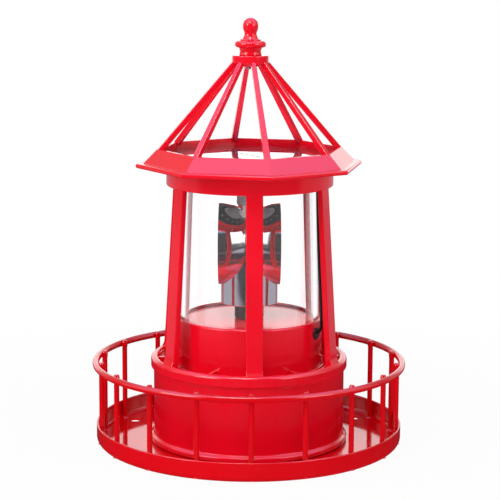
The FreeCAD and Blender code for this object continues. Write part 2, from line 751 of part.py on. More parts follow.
# ---- Lantern frame, lens and ceiling --------------------------------------------------
def make_lantern_frame():
    bead_middle = (bead_outer_radius + bead_inner_radius) / 2.0
    half = (bead_outer_radius - bead_inner_radius) / 2.0
    bead_top = drum_height + bead_height
    collar_inner = base_radius + collar_gap
    floor_top = drum_height + moat_floor
    foot = spun([
        (collar_inner, drum_height),
        (bead_middle, drum_height),
        (bead_outer_radius - 1.0, drum_height),
        ((bead_outer_radius - 0.3, drum_height + 0.3), (bead_outer_radius, drum_height + 1.0)),
        (bead_outer_radius, bead_top - half),
        arc_step((bead_middle, bead_top - half), half, 0, 180),
        (bead_inner_radius, floor_top),
        (collar_inner + collar_width, floor_top),
        (collar_inner + collar_width, drum_height + collar_height),
        (collar_inner, drum_height + collar_height),
    ])
    ring = spun([
        (ring_radius - ring_wall, ring_bottom),
        (ring_radius - ring_edge_radius, ring_bottom),
        arc_step((ring_radius - ring_edge_radius, ring_bottom + ring_edge_radius),
                 ring_edge_radius, -90, 0),
        (ring_radius, ring_top),
        (ring_radius - ring_wall, ring_top),
        (ring_radius - ring_wall, flange_bottom + flange_thickness),
        (flange_inner_radius, flange_bottom + flange_thickness),
        (flange_inner_radius, flange_bottom),
        (ring_radius - ring_wall, flange_bottom),
    ])
    frame = foot.fuse(ring)
    flare_top = post_foot_height + post_flare_height
    slope = (post_foot_radius - post_top_radius) / (ring_bottom - post_foot_height)
    flare_start = post_foot_radius - slope * post_flare_height
    side = outline([
        (post_foot_radius - post_thickness, floor_top - 0.2),
        (post_foot_radius + post_flare, floor_top - 0.2),
        (post_foot_radius + post_flare, post_foot_height - 1.6),
        ((post_foot_radius + 0.15, post_foot_height + 0.35 * post_flare_height),
         (flare_start, flare_top)),
        (post_top_radius, ring_bottom + ring_edge_radius),
        (post_top_radius - post_thickness + 0.4, ring_bottom + ring_edge_radius),
    ])
    post = side.extrude(Vector(0, post_width, 0))
    post.translate(Vector(0, -post_width / 2.0, 0))
    post = turned(post, -90.0)
    rib_outer = bead_inner_radius + 0.5
    rib_inner = collar_inner + 0.3
    rib = Part.makeBox(rib_outer - rib_inner, rib_width, rib_height - 0.2,
                       Vector(rib_inner, -rib_width / 2.0, drum_height + 0.2))
    rib = turned(rib, -90.0)
    parts = around(post, post_count, post_heading)
    parts += around(rib, post_count, post_heading + post_step / 2.0)
    frame = frame.fuse(parts)
    pilot = screw_radius - screw_hole_gap
    for heading in side_post_headings:
        centre = polar(frame_boss_circle_radius, heading)
        frame = frame.fuse(disc(boss_radius - 0.5, drum_height, drum_height + bead_height, centre))
        frame = frame.cut(disc(pilot, drum_height, drum_height + bead_height - 1.2, centre))
    step = 360.0 / roof_boss_count
    hole = screw_radius + screw_hole_gap
    for place in range(roof_boss_count):
        centre = polar(roof_boss_circle_radius, roof_screw_heading + step * place)
        frame = frame.cut(disc(hole, flange_bottom, flange_bottom + flange_thickness, centre))
    frame = frame.cut(cable_passage(flange_bottom, flange_bottom + flange_thickness))
    export("lantern_frame", frame.removeSplitter())


roof_screw_heading = 20.0


def make_lens_cylinder():
    lens = spun([
        (lens_bottom_radius - lens_wall, lens_bottom),
        (lens_bottom_radius - lens_foot_radius, lens_bottom),
        arc_step((lens_bottom_radius - lens_foot_radius, lens_bottom + lens_foot_radius),
                 lens_foot_radius, -90, 0),
        (lens_top_radius, lens_top),
        (lens_top_radius - lens_wall, lens_top),
    ])
    export("lens_cylinder", lens)


def make_ceiling():
    plate = disc(ring_radius - ring_wall - ceiling_gap, ceiling_bottom, ceiling_top)
    step = 360.0 / roof_boss_count
    hole = screw_radius + screw_hole_gap
    seats = []
    for place in range(roof_boss_count):
        centre = polar(roof_boss_circle_radius, roof_screw_heading + step * place, ceiling_bottom)
        plate = plate.cut(disc(hole, ceiling_bottom, ceiling_top, centre))
        seats.append(centre)
    for side in (-1.0, 1.0):
        centre = Vector(side * lead_spacing / 2.0, 0, 0)
        plate = plate.cut(disc(lead_radius + 0.3, ceiling_bottom, ceiling_top, centre))
    plate = plate.cut(cable_passage(ceiling_bottom, ceiling_top))
    export("ceiling_plate", plate)
    pilot = screw_radius - screw_hole_gap
    export("roof_screws", Part.makeCompound(
        [screw(seat, roof_screw_length, True, pilot) for seat in seats]))


# ---- Lamp -----------------------------------------------------------------------------
def make_lamp():
    holder = disc(holder_flange_radius, ceiling_bottom - holder_flange, ceiling_bottom)
    holder = holder.fuse(disc(holder_radius, holder_bottom, ceiling_bottom - holder_flange))
    sleeve = Part.makeCone(sleeve_bottom_radius, sleeve_top_radius,
                           holder_bottom - sleeve_bottom, Vector(0, 0, sleeve_bottom))
    seat_top = sleeve_bottom + lamp_seat
    sleeve = sleeve.cut(disc(lamp_radius + 0.05, sleeve_bottom, seat_top))
    board_bottom = ceiling_top
    board_top = board_bottom + lamp_board_thickness
    leads = []
    for side in (-1.0, 1.0):
        centre = Vector(side * lead_spacing / 2.0, 0, 0)
        hole = lead_radius + 0.1
        holder = holder.cut(disc(hole, holder_bottom, ceiling_bottom, centre))
        sleeve = sleeve.cut(disc(hole, seat_top, holder_bottom, centre))
        leads.append(disc(lead_radius, seat_top, board_bottom, centre))
    export("lamp_holder", holder)
    export("lamp_sleeve", sleeve)
    lamp_bottom = seat_top - lamp_length
    dome_centre = lamp_bottom + lamp_radius
    bulb = disc(lamp_radius, dome_centre, seat_top)
    bulb = bulb.fuse(Part.makeSphere(lamp_radius, Vector(0, 0, dome_centre)))
    export("lamp", Part.makeCompound([bulb] + leads))
    export("lamp_board", disc(lamp_board_radius, board_bottom, board_top))


# ---- Roof -----------------------------------------------------------------------------
def make_roof():
    brim = frustum(brim_corner_radius, brim_bottom, brim_corner_radius, brim_bottom + brim_thickness)
    rim_edges = []
    for edge in brim.Edges:
        middle = edge.CenterOfMass
        if abs(edge.BoundBox.ZLength) < 1e-6 and math.hypot(middle.x, middle.y) > slope_foot_radius * 0.9:
            rim_edges.append(edge)
    brim = brim.makeFillet(brim_edge_radius, rim_edges)
    brim_top = brim_bottom + brim_thickness
    slope = frustum(slope_foot_radius, brim_top, slope_top_radius, slope_top)
    wall_drop = roof_wall / math.cos(math.pi / roof_sides)
    under = frustum(slope_foot_radius - wall_drop, brim_bottom - 1.0,
                    slope_foot_radius - wall_drop, brim_top - 0.6)
    under = under.fuse(frustum(slope_foot_radius - wall_drop, brim_top - 0.6,
                               slope_top_radius - 0.3, slope_top - 2.0 * roof_wall))
    inner_wall = frustum(opening_corner_radius + wall_drop, ring_top,
                         opening_corner_radius + wall_drop, slope_top)
    opening = frustum(opening_corner_radius, ring_top - 1.0, opening_corner_radius, slope_top + 1.0)
    floor = frustum(opening_corner_radius + wall_drop, roof_floor_bottom,
                    opening_corner_radius + wall_drop, roof_floor_top)
    seat_ring = tube(ring_radius, ring_radius - ring_wall, ring_top, roof_floor_bottom + 0.2)
    shell = brim.fuse(slope).cut(under)
    shell = shell.fuse(inner_wall.cut(opening))
    shell = shell.cut(opening).fuse([floor, seat_ring])
    step = 360.0 / roof_boss_count
    for place in range(roof_boss_count):
        centre = polar(roof_boss_circle_radius, roof_screw_heading + step * place)
        boss = disc(boss_radius, flange_bottom + flange_thickness, roof_floor_bottom + 0.2, centre)
        shell = shell.fuse(boss)
        shell = shell.cut(disc(screw_radius - screw_hole_gap, flange_bottom + flange_thickness,
                               ceiling_bottom + roof_screw_length + 0.5, centre))
    shell = shell.cut(cable_passage(roof_floor_bottom, roof_floor_top))
    hub_bottom = hub_plate_top - hub_plate_thickness
    cone_bottom = hub_bottom - hub_cone_height
    hub = disc(hub_plate_radius, hub_bottom, hub_plate_top)
    hub = hub.fuse(Part.makeCone(hub_cone_radius, hub_plate_radius - 0.8, hub_cone_height,
                                 Vector(0, 0, cone_bottom)))
    foot_radius = (opening_corner_radius + slope_top_radius) / 2.0 - 0.4
    foot_low = slope_top - 1.4
    top_radius = hub_cone_radius + 1.4
    top_height = hub_bottom - 0.7
    ribs = []
    for side in range(roof_sides):
        heading = roof_heading + 360.0 / roof_sides * side
        sections = []
        for radius, height, width in ((foot_radius, foot_low, roof_rib_foot_width),
                                      (top_radius, top_height, roof_rib_top_width)):
            centre = polar(radius, heading, height)
            across = polar(1.0, heading + 90.0) * (width / 2.0)
            run = polar(top_radius, heading, top_height) - polar(foot_radius, heading, foot_low)
            outward = across.cross(run).normalize() * (roof_rib_depth / 2.0)
            corners = [centre + across + outward, centre - across + outward,
                       centre - across - outward, centre + across - outward]
            sections.append(Part.makePolygon(corners + corners[:1]))
        ribs.append(Part.makeLoft(sections, True, True))
    roof = shell.fuse(ribs + [hub])
    roof = roof.cut(disc(screw_radius + screw_hole_gap, cone_bottom - 2.0, hub_plate_top + 1.0))
    export("roof_cage", roof.removeSplitter())


def make_solar_panel():
    corner = opening_corner_radius - panel_gap
    board_top = roof_floor_top + panel_thickness
    export("solar_panel", frustum(corner, roof_floor_top, corner, board_top))
    cells = []
    pitch_x = solar_cell_length + solar_cell_space
    pitch_y = solar_cell_width + solar_cell_space
    for column in range(solar_cell_columns):
        for row in range(solar_cell_rows):
            centre = Vector((column - (solar_cell_columns - 1) / 2.0) * pitch_x,
                            (row - (solar_cell_rows - 1) / 2.0) * pitch_y, 0)
            cell = block(solar_cell_length, solar_cell_width, board_top,
                         board_top + cell_thickness, centre)
            cells.append(turned(cell, roof_heading + 180.0 / roof_sides))
    export("solar_cells", Part.makeCompound(cells))


# ---- Finial ---------------------------------------------------------------------------
def make_finial():
    disc_bottom = hub_plate_top + barrel_height
    disc_top = disc_bottom + disc_height
    collar_top = disc_top + collar_disc_height
    neck_top = collar_top + neck_height
    round_disc = disc_height / 2.0 - 0.2
    lean = math.degrees(math.acos(neck_top_radius / ball_radius))
    finial = spun([
        (0.0, hub_plate_top),
        (barrel_radius, hub_plate_top),
        ((barrel_radius - barrel_waist, hub_plate_top + barrel_height / 2.0),
         (barrel_radius, disc_bottom)),
        (disc_radius - round_disc, disc_bottom),
        arc_step((disc_radius - round_disc, disc_bottom + round_disc), round_disc, -90, 0),
        (disc_radius, disc_top - round_disc),
        arc_step((disc_radius - round_disc, disc_top - round_disc), round_disc, 0, 90),
        (collar_disc_radius, disc_top),
        (collar_disc_radius, collar_top),
        (neck_foot_radius, collar_top),
        (neck_top_radius, ball_centre - ball_radius * math.sin(math.radians(lean))),
        arc_step((0.0, ball_centre), ball_radius, -lean, 90),
    ])
    pilot = screw_radius - screw_hole_gap
    finial = finial.cut(disc(pilot, hub_plate_top, hub_plate_top + barrel_height + 2.0))
    export("finial", finial)
    seat = Vector(0, 0, hub_plate_top - hub_plate_thickness - hub_cone_height)
    export("finial_screw", screw(seat, hub_plate_thickness + hub_cone_height + barrel_height, True,
                                 pilot))
    return neck_top


# ---- Panel cable ----------------------------------------------------------------------
cable_entry_height = 71.3
cable_inner_circle_radius = 38.6
cable_board_circle_radius = 31.8


def cable_entry():
    return polar(base_radius, cable_heading, cable_entry_height)


def cable_run_radius(height):
    """The cable lies just behind the post's inner face."""
    slope = (post_foot_radius - post_top_radius) / (ring_bottom - post_foot_height)
    inner_face = post_foot_radius - post_thickness - slope * (height - post_foot_height)
    return inner_face - cable_radius - cable_clearance


def cable_top_radius():
    return cable_run_radius(ring_bottom) - cable_clearance - 0.2


def cable_passage(bottom, top):
    centre = polar(cable_top_radius(), cable_heading)
    return disc(cable_radius + cable_clearance, bottom, top, centre)


def make_panel_cable():
    top_radius = cable_top_radius()
    board_top = deck_bottom - board_drop
    route = [(top_radius, roof_floor_top), (top_radius, cable_top_height),
             (cable_run_radius(cable_middle_height) - cable_hang, cable_middle_height),
             (cable_run_radius(cable_low_height) - cable_hang, cable_low_height),
             (base_radius + 3.6, cable_entry_height + 0.6),
             (cable_inner_circle_radius, cable_entry_height),
             (cable_inner_circle_radius - 1.0, gearbox_floor - 1.0),
             (cable_board_circle_radius, drum_height + 2.0), (cable_board_circle_radius, board_top)]
    points = [polar(radius, cable_heading, height) for radius, height in route]
    path, radii = rounded_path(points)
    section = Part.Wire(Part.makeCircle(cable_radius, points[0], Vector(0, 0, -1)))
    cable = path.makePipeShell([section], True, False)
    expected = path.Length * math.pi * cable_radius ** 2
    print("panel cable: length %.1f mm, volume %.1f of %.1f mm3, bend radii %s"
          % (path.Length, cable.Volume, expected, [round(radius, 1) for radius in radii]))
    export("panel_cable", cable)
    return cable


def make_cable_grommet(cable):
    inward = polar(-1.0, cable_heading)
    wall_out = cable_entry() - inward * grommet_lip
    plug = Part.makeCylinder(grommet_radius, base_wall + grommet_lip, wall_out, inward)
    lip = Part.makeCylinder(grommet_radius + 0.9, grommet_lip, wall_out, inward)
    lip = lip.cut(disc(base_radius, drum_height, base_rim_top))
    plug = plug.fuse(lip)
    grommet = plug.cut(cable)
    export("cable_grommet", max(grommet.Solids, key=lambda solid: solid.Volume))


# ---- Screws of the drum ---------------------------------------------------------------
def make_drum_screws():
    """One length of screw holds the tray and the base plate to the drum from below, and a
    shorter one holds the light base and the lantern frame to the drum's deck."""
    pilot = screw_radius - screw_hole_gap
    seats = [polar(tray_screw_circle_radius, heading, pad_bottom) for heading in base_post_headings]
    seats += [polar(plate_boss_circle_radius, heading + 30.0, plate_bottom)
              for heading in side_post_headings]
    export("base_screws", Part.makeCompound(
        [screw(seat, base_screw_length, True, pilot) for seat in seats]))
    seats = [polar(base_boss_circle_radius, heading, deck_bottom) for heading in base_post_headings]
    seats += [polar(frame_boss_circle_radius, heading, deck_bottom) for heading in side_post_headings]
    export("deck_screws", Part.makeCompound(
        [screw(seat, deck_screw_length, True, pilot) for seat in seats]))


make_gallery_railing(make_deck_tray())
make_drum_housing()
small_screws = make_control_board()
make_base_plate()
make_battery()
make_switch()
make_light_base()
small_screws += make_gearbox()
export("small_screws", Part.makeCompound(small_screws))
make_gears()
make_reflector()
make_lantern_frame()
make_lens_cylinder()
make_ceiling()
make_lamp()
make_roof()
make_solar_panel()
make_finial()
make_cable_grommet(make_panel_cable())
make_drum_screws()
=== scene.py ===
"""Looks of the solar garden lighthouse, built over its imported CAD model. Metres, +Z up."""
import json
import math

import bmesh
import bpy
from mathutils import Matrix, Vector


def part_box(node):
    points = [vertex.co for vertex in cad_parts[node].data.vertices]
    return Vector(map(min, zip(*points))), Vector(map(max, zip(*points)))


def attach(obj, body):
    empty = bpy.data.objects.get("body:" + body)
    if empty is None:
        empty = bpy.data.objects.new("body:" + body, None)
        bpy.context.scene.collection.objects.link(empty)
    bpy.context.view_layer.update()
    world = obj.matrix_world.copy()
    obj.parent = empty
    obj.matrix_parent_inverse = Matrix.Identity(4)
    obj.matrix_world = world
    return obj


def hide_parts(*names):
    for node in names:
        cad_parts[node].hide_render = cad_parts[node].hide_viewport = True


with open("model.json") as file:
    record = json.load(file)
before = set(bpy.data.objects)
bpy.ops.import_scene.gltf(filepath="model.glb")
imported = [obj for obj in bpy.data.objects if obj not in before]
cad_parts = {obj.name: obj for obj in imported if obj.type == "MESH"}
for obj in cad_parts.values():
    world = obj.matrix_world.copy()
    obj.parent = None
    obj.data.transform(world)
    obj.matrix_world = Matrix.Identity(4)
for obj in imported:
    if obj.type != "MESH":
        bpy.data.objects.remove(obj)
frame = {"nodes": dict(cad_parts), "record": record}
bpy.context.scene.view_settings.view_transform = "Standard"
bpy.ops.object.select_all(action="DESELECT")
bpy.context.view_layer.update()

MM = 0.001
FULL_TURN = 2.0 * math.pi

# ---- Sizes and headings ----------------------------------------------------------------
rail_low, rail_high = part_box("gallery_rail")
rail_wire = (rail_high.z - rail_low.z) / 2.0
rail_height = (rail_high.z + rail_low.z) / 2.0
rail_radius = rail_high.x - rail_wire

# Heights and radii that come back in the outlines, in millimetres
DRUM_TOP = 47.0
DRUM_DECK_LOW = 45.0
MOAT_FLOOR = 48.4
BASE_FLOOR = 77.1
BASE_RIM_TOP = 78.7
CUP_WEB_LOW = 94.0
CUP_WEB_TOP = 96.0
HOLDER_LOW = 147.4
CEILING_LOW = 163.5
CEILING_TOP = 165.5
BRIM_LOW = 170.5
BRIM_TOP = 173.3
ROOF_FLOOR = 175.0
ROOF_OPENING = 54.64
ROOF_REACH = 69.6
ROOF_HUB_TOP = 237.6
FINIAL_TOP = 259.85

HOLE_CIRCLE = 81.5 * MM
HOLE_RADIUS = 3.2 * MM
DECK_SCREW_CIRCLE = 50.6 * MM
ROOF_SCREW_CIRCLE = 44.1 * MM
SCREW_HOLE_RADIUS = 1.7 * MM

POST_HEADING = 3.3
POST_COUNT = 6
POST_WIDTH = 10.0 * MM
MOAT_RIB_WIDTH = 2.4 * MM
HOLE_COUNT = 3
ROOF_HEADING = 10.56
ROOF_SIDES = 8
ROOF_SCREW_HEADING = 20.0
ROOF_SCREW_COUNT = 4
COVER_BUTTON_COUNT = 12
BALUSTER_HEADING = 1.0
BALUSTER_COUNT = 18
BALUSTER_INSET = 2.9 * MM
RAIL_WELD_HEADING = 189.0
RAIL_WELD_REACH = 3.2 * MM
RAIL_WELD_SWELL = 0.25 * MM
CABLE_HEADING = 64.0
CABLE_HOLE_HEIGHT = 71.3 * MM
CABLE_HOLE_RADIUS = 2.6 * MM
CELL_HEADING = ROOF_HEADING + 22.5

BOWL_RADIUS = 25.0 * MM
BOWL_OFFSET = 18.6 * MM
BOWL_WALL = 1.3 * MM
HEAD_HEIGHT = 123.3 * MM
LAMP_OPENING = 6.5 * MM
CUP_OVERLAP = 0.6 * MM
PARTING_GAP = 0.06 * MM
SEAM = 0.002 * MM


# ---- Modelling helpers -----------------------------------------------------------------
def at_heading(radius, heading, height=0.0):
    """Point at a distance from the axis; a heading runs from the front (-Y) towards +X."""
    turn = math.radians(heading)
    return Vector((radius * math.sin(turn), -radius * math.cos(turn), height))


def select_only(piece):
    bpy.ops.object.select_all(action="DESELECT")
    piece.select_set(True)
    bpy.context.view_layer.objects.active = piece


def work_on(piece):
    """Makes one piece the only selected one, and opens it in edit mode."""
    select_only(piece)
    bpy.ops.object.mode_set(mode="EDIT")


def leave_edit():
    bpy.ops.object.mode_set(mode="OBJECT")


def pick(kind, test):
    """In edit mode, selects only the vertices, edges or faces whose element passes a test."""
    bpy.ops.mesh.select_mode(type=kind)
    bpy.ops.mesh.select_all(action="DESELECT")
    mesh = bpy.context.edit_object.data
    shape = bmesh.from_edit_mesh(mesh)
    elements = {"VERT": shape.verts, "EDGE": shape.edges, "FACE": shape.faces}[kind]
    for element in elements:
        if test(element):
            element.select_set(True)
    shape.select_flush_mode()
    bmesh.update_edit_mesh(mesh)


def middle(element):
    """Middle of an edge or a face."""
    total = Vector((0.0, 0.0, 0.0))
    for vertex in element.verts:
        total += vertex.co
    return total / len(element.verts)


def finish_shape(piece, smooth_angle=35.0):
    """Applies the piece's place, and shades it smooth but for its sharp edges."""
    select_only(piece)
    bpy.ops.object.transform_apply(location=True, rotation=True, scale=True)
    bpy.ops.object.shade_smooth_by_angle(angle=math.radians(smooth_angle))
    return piece


def tidy_mesh():
    """In edit mode: closes seams, drops loose bits and turns every face outwards."""
    bpy.ops.mesh.select_all(action="SELECT")
    bpy.ops.mesh.remove_doubles(threshold=SEAM)
    bpy.ops.mesh.delete_loose()
    bpy.ops.mesh.select_all(action="SELECT")
    bpy.ops.mesh.normals_make_consistent(inside=False)


def rounded(corners, steps=5):
    """Points (r, z) of a closed outline whose corners (r, z, rounding) are in millimetres."""
    points = []
    count = len(corners)
    for place, corner in enumerate(corners):
        here = Vector(corner[:2])
        rounding = corner[2] if len(corner) > 2 else 0.0
        if rounding == 0.0:
            points.append(here * MM)
            continue
        to_last = (Vector(corners[place - 1][:2]) - here).normalized()
        to_next = (Vector(corners[(place + 1) % count][:2]) - here).normalized()
        half = to_last.angle(to_next) / 2.0
        centre = here + (to_last + to_next).normalized() * (rounding / math.sin(half))
        start = here + to_last * (rounding / math.tan(half)) - centre
        end = here + to_next * (rounding / math.tan(half)) - centre
        sweep = start.angle_signed(end)
        for step in range(steps + 1):
            turn = -sweep * step / steps
            spoke = Vector((start.x * math.cos(turn) - start.y * math.sin(turn),
                            start.x * math.sin(turn) + start.y * math.cos(turn)))
            points.append((centre + spoke) * MM)
    return points


def draw_outline(name, points):
    """Draws a closed outline (r, z) in the plane Y = 0, by extruding one vertex along it."""
    first = points[0]
    bpy.ops.mesh.primitive_plane_add(size=MM, location=(first.x, 0.0, first.y))
    piece = bpy.context.object
    piece.name = name
    bpy.ops.object.transform_apply(location=True, rotation=True, scale=True)
    work_on(piece)
    bpy.ops.mesh.select_mode(type="VERT")
    bpy.ops.mesh.select_all(action="SELECT")
    bpy.ops.mesh.merge(type="CENTER")
    last = first
    for point in points[1:] + [first]:
        step = (point.x - last.x, 0.0, point.y - last.y)
        bpy.ops.mesh.extrude_vertices_move(TRANSFORM_OT_translate={"value": step})
        last = point
    return piece


def spin_piece(name, corners, steps=144, heading=0.0, arc_steps=5):
    """A turned piece, or with few steps a many-sided one: an outline spun round the axis."""
    piece = draw_outline(name, rounded(corners, arc_steps))
    bpy.ops.mesh.select_all(action="SELECT")
    bpy.ops.mesh.spin(steps=steps, angle=FULL_TURN, center=(0, 0, 0), axis=(0, 0, 1))
    tidy_mesh()
    leave_edit()
    piece.rotation_euler.z = math.radians(heading - 90.0)
    return finish_shape(piece)


def copy_at(piece, name, heading):
    """A copy of a piece, with its own mesh, turned about the lighthouse's axis."""
    select_only(piece)
    bpy.ops.object.duplicate(linked=False)
    copy = bpy.context.object
    copy.name = name
    copy.rotation_euler.z = math.radians(heading)
    bpy.ops.object.transform_apply(rotation=True)
    return copy


def join(pieces, name):
    bpy.ops.object.select_all(action="DESELECT")
    for piece in pieces:
        piece.select_set(True)
    bpy.context.view_layer.objects.active = pieces[0]
    bpy.ops.object.join()
    pieces[0].name = name
    return pieces[0]


def subtract(piece, cutter):
    """Cuts one piece with another, which is used up."""
    select_only(piece)
    cut = piece.modifiers.new("cut", "BOOLEAN")
    cut.operation = "DIFFERENCE"
    cut.solver = "EXACT"
    cut.object = cutter
    bpy.ops.object.modifier_apply(modifier="cut")
    bpy.data.objects.remove(cutter)


def rod(name, radius, low, high, place=(0.0, 0.0), sides=48):
    """Plain upright rod, the start of a shape or a drill."""
    bpy.ops.mesh.primitive_cylinder_add(vertices=sides, radius=radius, depth=high - low,
                                        location=(place[0], place[1], (low + high) / 2.0))
    piece = bpy.context.object
    piece.name = name
    bpy.ops.object.transform_apply(location=True)
    return piece


def weigh_normals(piece):
    """Large flat or round faces keep their own shading beside small rounded corners."""
    select_only(piece)
    weigh = piece.modifiers.new("weigh", "WEIGHTED_NORMAL")
    weigh.keep_sharp = True
    bpy.ops.object.modifier_apply(modifier="weigh")


def dress(piece, material, slot, body, *nodes):
    """Gives a finished piece its material, its place in the frame and the nodes it stands for."""
    weigh_normals(piece)
    piece.data.materials.clear()
    piece.data.materials.append(material)
    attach(piece, body)
    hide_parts(*nodes)


# ---- Node groups that the materials share ----------------------------------------------
def new_group(name, inputs, outputs):
    group = bpy.data.node_groups.new(name, "ShaderNodeTree")
    for label, kind, value in inputs:
        socket = group.interface.new_socket(name=label, in_out="INPUT", socket_type=kind)
        socket.default_value = value
    for label, kind in outputs:
        group.interface.new_socket(name=label, in_out="OUTPUT", socket_type=kind)
    start = group.nodes.new("NodeGroupInput")
    end = group.nodes.new("NodeGroupOutput")
    return group, start, end


def make_blotch_group():
    """Slow, uneven variation over a surface, between two values, and as a 0 to 1 mask."""
    group, start, end = new_group(
        "uneven surface",
        [("Scale", "NodeSocketFloat", 60.0), ("Low", "NodeSocketFloat", 0.2),
         ("High", "NodeSocketFloat", 0.3)],
        [("Value", "NodeSocketFloat"), ("Mask", "NodeSocketFloat")])
    place = group.nodes.new("ShaderNodeTexCoord")
    noise = group.nodes.new("ShaderNodeTexNoise")
    noise.inputs["Detail"].default_value = 4.0
    noise.inputs["Roughness"].default_value = 0.55
    spread = group.nodes.new("ShaderNodeMapRange")
    spread.inputs["From Min"].default_value = 0.35
    spread.inputs["From Max"].default_value = 0.65
    values = group.nodes.new("ShaderNodeMapRange")
    link = group.links.new
    link(place.outputs["Object"], noise.inputs["Vector"])
    link(start.outputs["Scale"], noise.inputs["Scale"])
    link(noise.outputs["Fac"], spread.inputs["Value"])
    link(spread.outputs["Result"], values.inputs["Value"])
    link(start.outputs["Low"], values.inputs["To Min"])
    link(start.outputs["High"], values.inputs["To Max"])
    link(values.outputs["Result"], end.inputs["Value"])
    link(spread.outputs["Result"], end.inputs["Mask"])
    return group


def make_ripple_group():
    """Shallow orange-peel or moulding ripple, as a normal."""
    group, start, end = new_group(
        "shallow ripple",
        [("Scale", "NodeSocketFloat", 300.0), ("Strength", "NodeSocketFloat", 0.05),
         ("Depth", "NodeSocketFloat", 0.00005)],
        [("Normal", "NodeSocketVector")])
    place = group.nodes.new("ShaderNodeTexCoord")
    noise = group.nodes.new("ShaderNodeTexNoise")
    noise.inputs["Detail"].default_value = 2.0
    bump = group.nodes.new("ShaderNodeBump")
    link = group.links.new
    link(place.outputs["Object"], noise.inputs["Vector"])
    link(start.outputs["Scale"], noise.inputs["Scale"])
    link(noise.outputs["Fac"], bump.inputs["Height"])
    link(start.outputs["Strength"], bump.inputs["Strength"])
    link(start.outputs["Depth"], bump.inputs["Distance"])
    link(bump.outputs["Normal"], end.inputs["Normal"])
    return group


blotches = make_blotch_group()
ripples = make_ripple_group()


# ---- Materials -------------------------------------------------------------------------
GLOSS_SCALE = 70.0
TONE_SCALE = GLOSS_SCALE * 0.31


def new_material(name, **sockets):
    """A material with one Principled shader, whose constants are given by socket name."""
    material = bpy.data.materials.new(name)
    material.use_nodes = True
    shader = material.node_tree.nodes["Principled BSDF"]
    for label, value in sockets.items():
        shader.inputs[label.replace("_", " ")].default_value = value
    return material, shader


def use_group(material, group, **values):
    node = material.node_tree.nodes.new("ShaderNodeGroup")
    node.node_tree = group
    for label, value in values.items():
        node.inputs[label].default_value = value
    return node


def surface(name, colour, shade, rough, ripple=(300.0, 0.05, 0.00005), **sockets):
    """A moulded, painted or metal finish: two close tones of its colour, uneven gloss and a
    shallow ripple."""
    material, shader = new_material(name, **sockets)
    link = material.node_tree.links.new
    gloss = use_group(material, blotches, Scale=GLOSS_SCALE, Low=rough[0], High=rough[1])
    tone = use_group(material, blotches, Scale=TONE_SCALE, Low=0.0, High=1.0)
    mix = material.node_tree.nodes.new("ShaderNodeMix")
    mix.data_type = "RGBA"
    mix.inputs["A"].default_value = (*colour, 1.0)
    mix.inputs["B"].default_value = (*shade, 1.0)
    waves = use_group(material, ripples, Scale=ripple[0], Strength=ripple[1], Depth=ripple[2])
    link(tone.outputs["Mask"], mix.inputs["Factor"])
    link(mix.outputs["Result"], shader.inputs["Base Color"])
    link(gloss.outputs["Value"], shader.inputs["Roughness"])
    link(waves.outputs["Normal"], shader.inputs["Normal"])
    return material


red_plastic = surface("red_plastic", (0.85, 0.0035, 0.019), (0.81, 0.003, 0.016), (0.11, 0.16),
                      IOR=1.5)
red_enamel = surface("red_enamel", (0.72, 0.002, 0.008), (0.68, 0.002, 0.007), (0.06, 0.11),
                     ripple=(420.0, 0.08, 0.00006), IOR=1.5)
chrome = surface("chrome", (0.86, 0.86, 0.88), (0.82, 0.82, 0.84), (0.015, 0.04),
                 ripple=(55.0, 0.25, 0.0006), Metallic=1.0)
hub_black = surface("hub_black", (0.022, 0.018, 0.02), (0.03, 0.025, 0.027), (0.3, 0.42))
black_plastic = surface("black_plastic", (0.025, 0.025, 0.026), (0.032, 0.032, 0.034), (0.35, 0.5),
                        ripple=(900.0, 0.2, 0.00008))
lamp_grey = surface("lamp_grey", (0.3, 0.3, 0.31), (0.36, 0.36, 0.37), (0.2, 0.3))
lamp_white = surface("lamp_white", (0.92, 0.88, 0.87), (0.88, 0.84, 0.83), (0.2, 0.3))
screw_steel = surface("screw_steel", (0.52, 0.52, 0.53), (0.45, 0.45, 0.46), (0.25, 0.38),
                      Metallic=1.0)
bushing_brass = surface("bushing_brass", (0.72, 0.5, 0.2), (0.66, 0.45, 0.17), (0.22, 0.35),
                        Metallic=1.0)
gear_nylon = surface("gear_nylon", (0.82, 0.79, 0.72), (0.78, 0.75, 0.68), (0.4, 0.5))
gearbox_grey = surface("gearbox_grey", (0.12, 0.12, 0.125), (0.15, 0.15, 0.155), (0.4, 0.55))
motor_steel = surface("motor_steel", (0.5, 0.5, 0.51), (0.42, 0.42, 0.43), (0.3, 0.42),
                      Metallic=1.0)
circuit_green = surface("circuit_green", (0.01, 0.14, 0.05), (0.012, 0.17, 0.06), (0.25, 0.4))
cell_wrap = surface("cell_wrap", (0.03, 0.16, 0.3), (0.035, 0.18, 0.33), (0.2, 0.3))
cable_black = surface("cable_black", (0.008, 0.008, 0.009), (0.012, 0.012, 0.013), (0.3, 0.45))
solar_backing = surface("solar_backing", (0.02, 0.022, 0.026), (0.025, 0.028, 0.034), (0.02, 0.05),
                        IOR=2.2, Coat_Weight=1.0, Coat_Roughness=0.02)
solar_cell = surface("solar_cell", (0.008, 0.012, 0.04), (0.012, 0.016, 0.055), (0.02, 0.05),
                     IOR=2.2, Coat_Weight=1.0, Coat_Roughness=0.02)


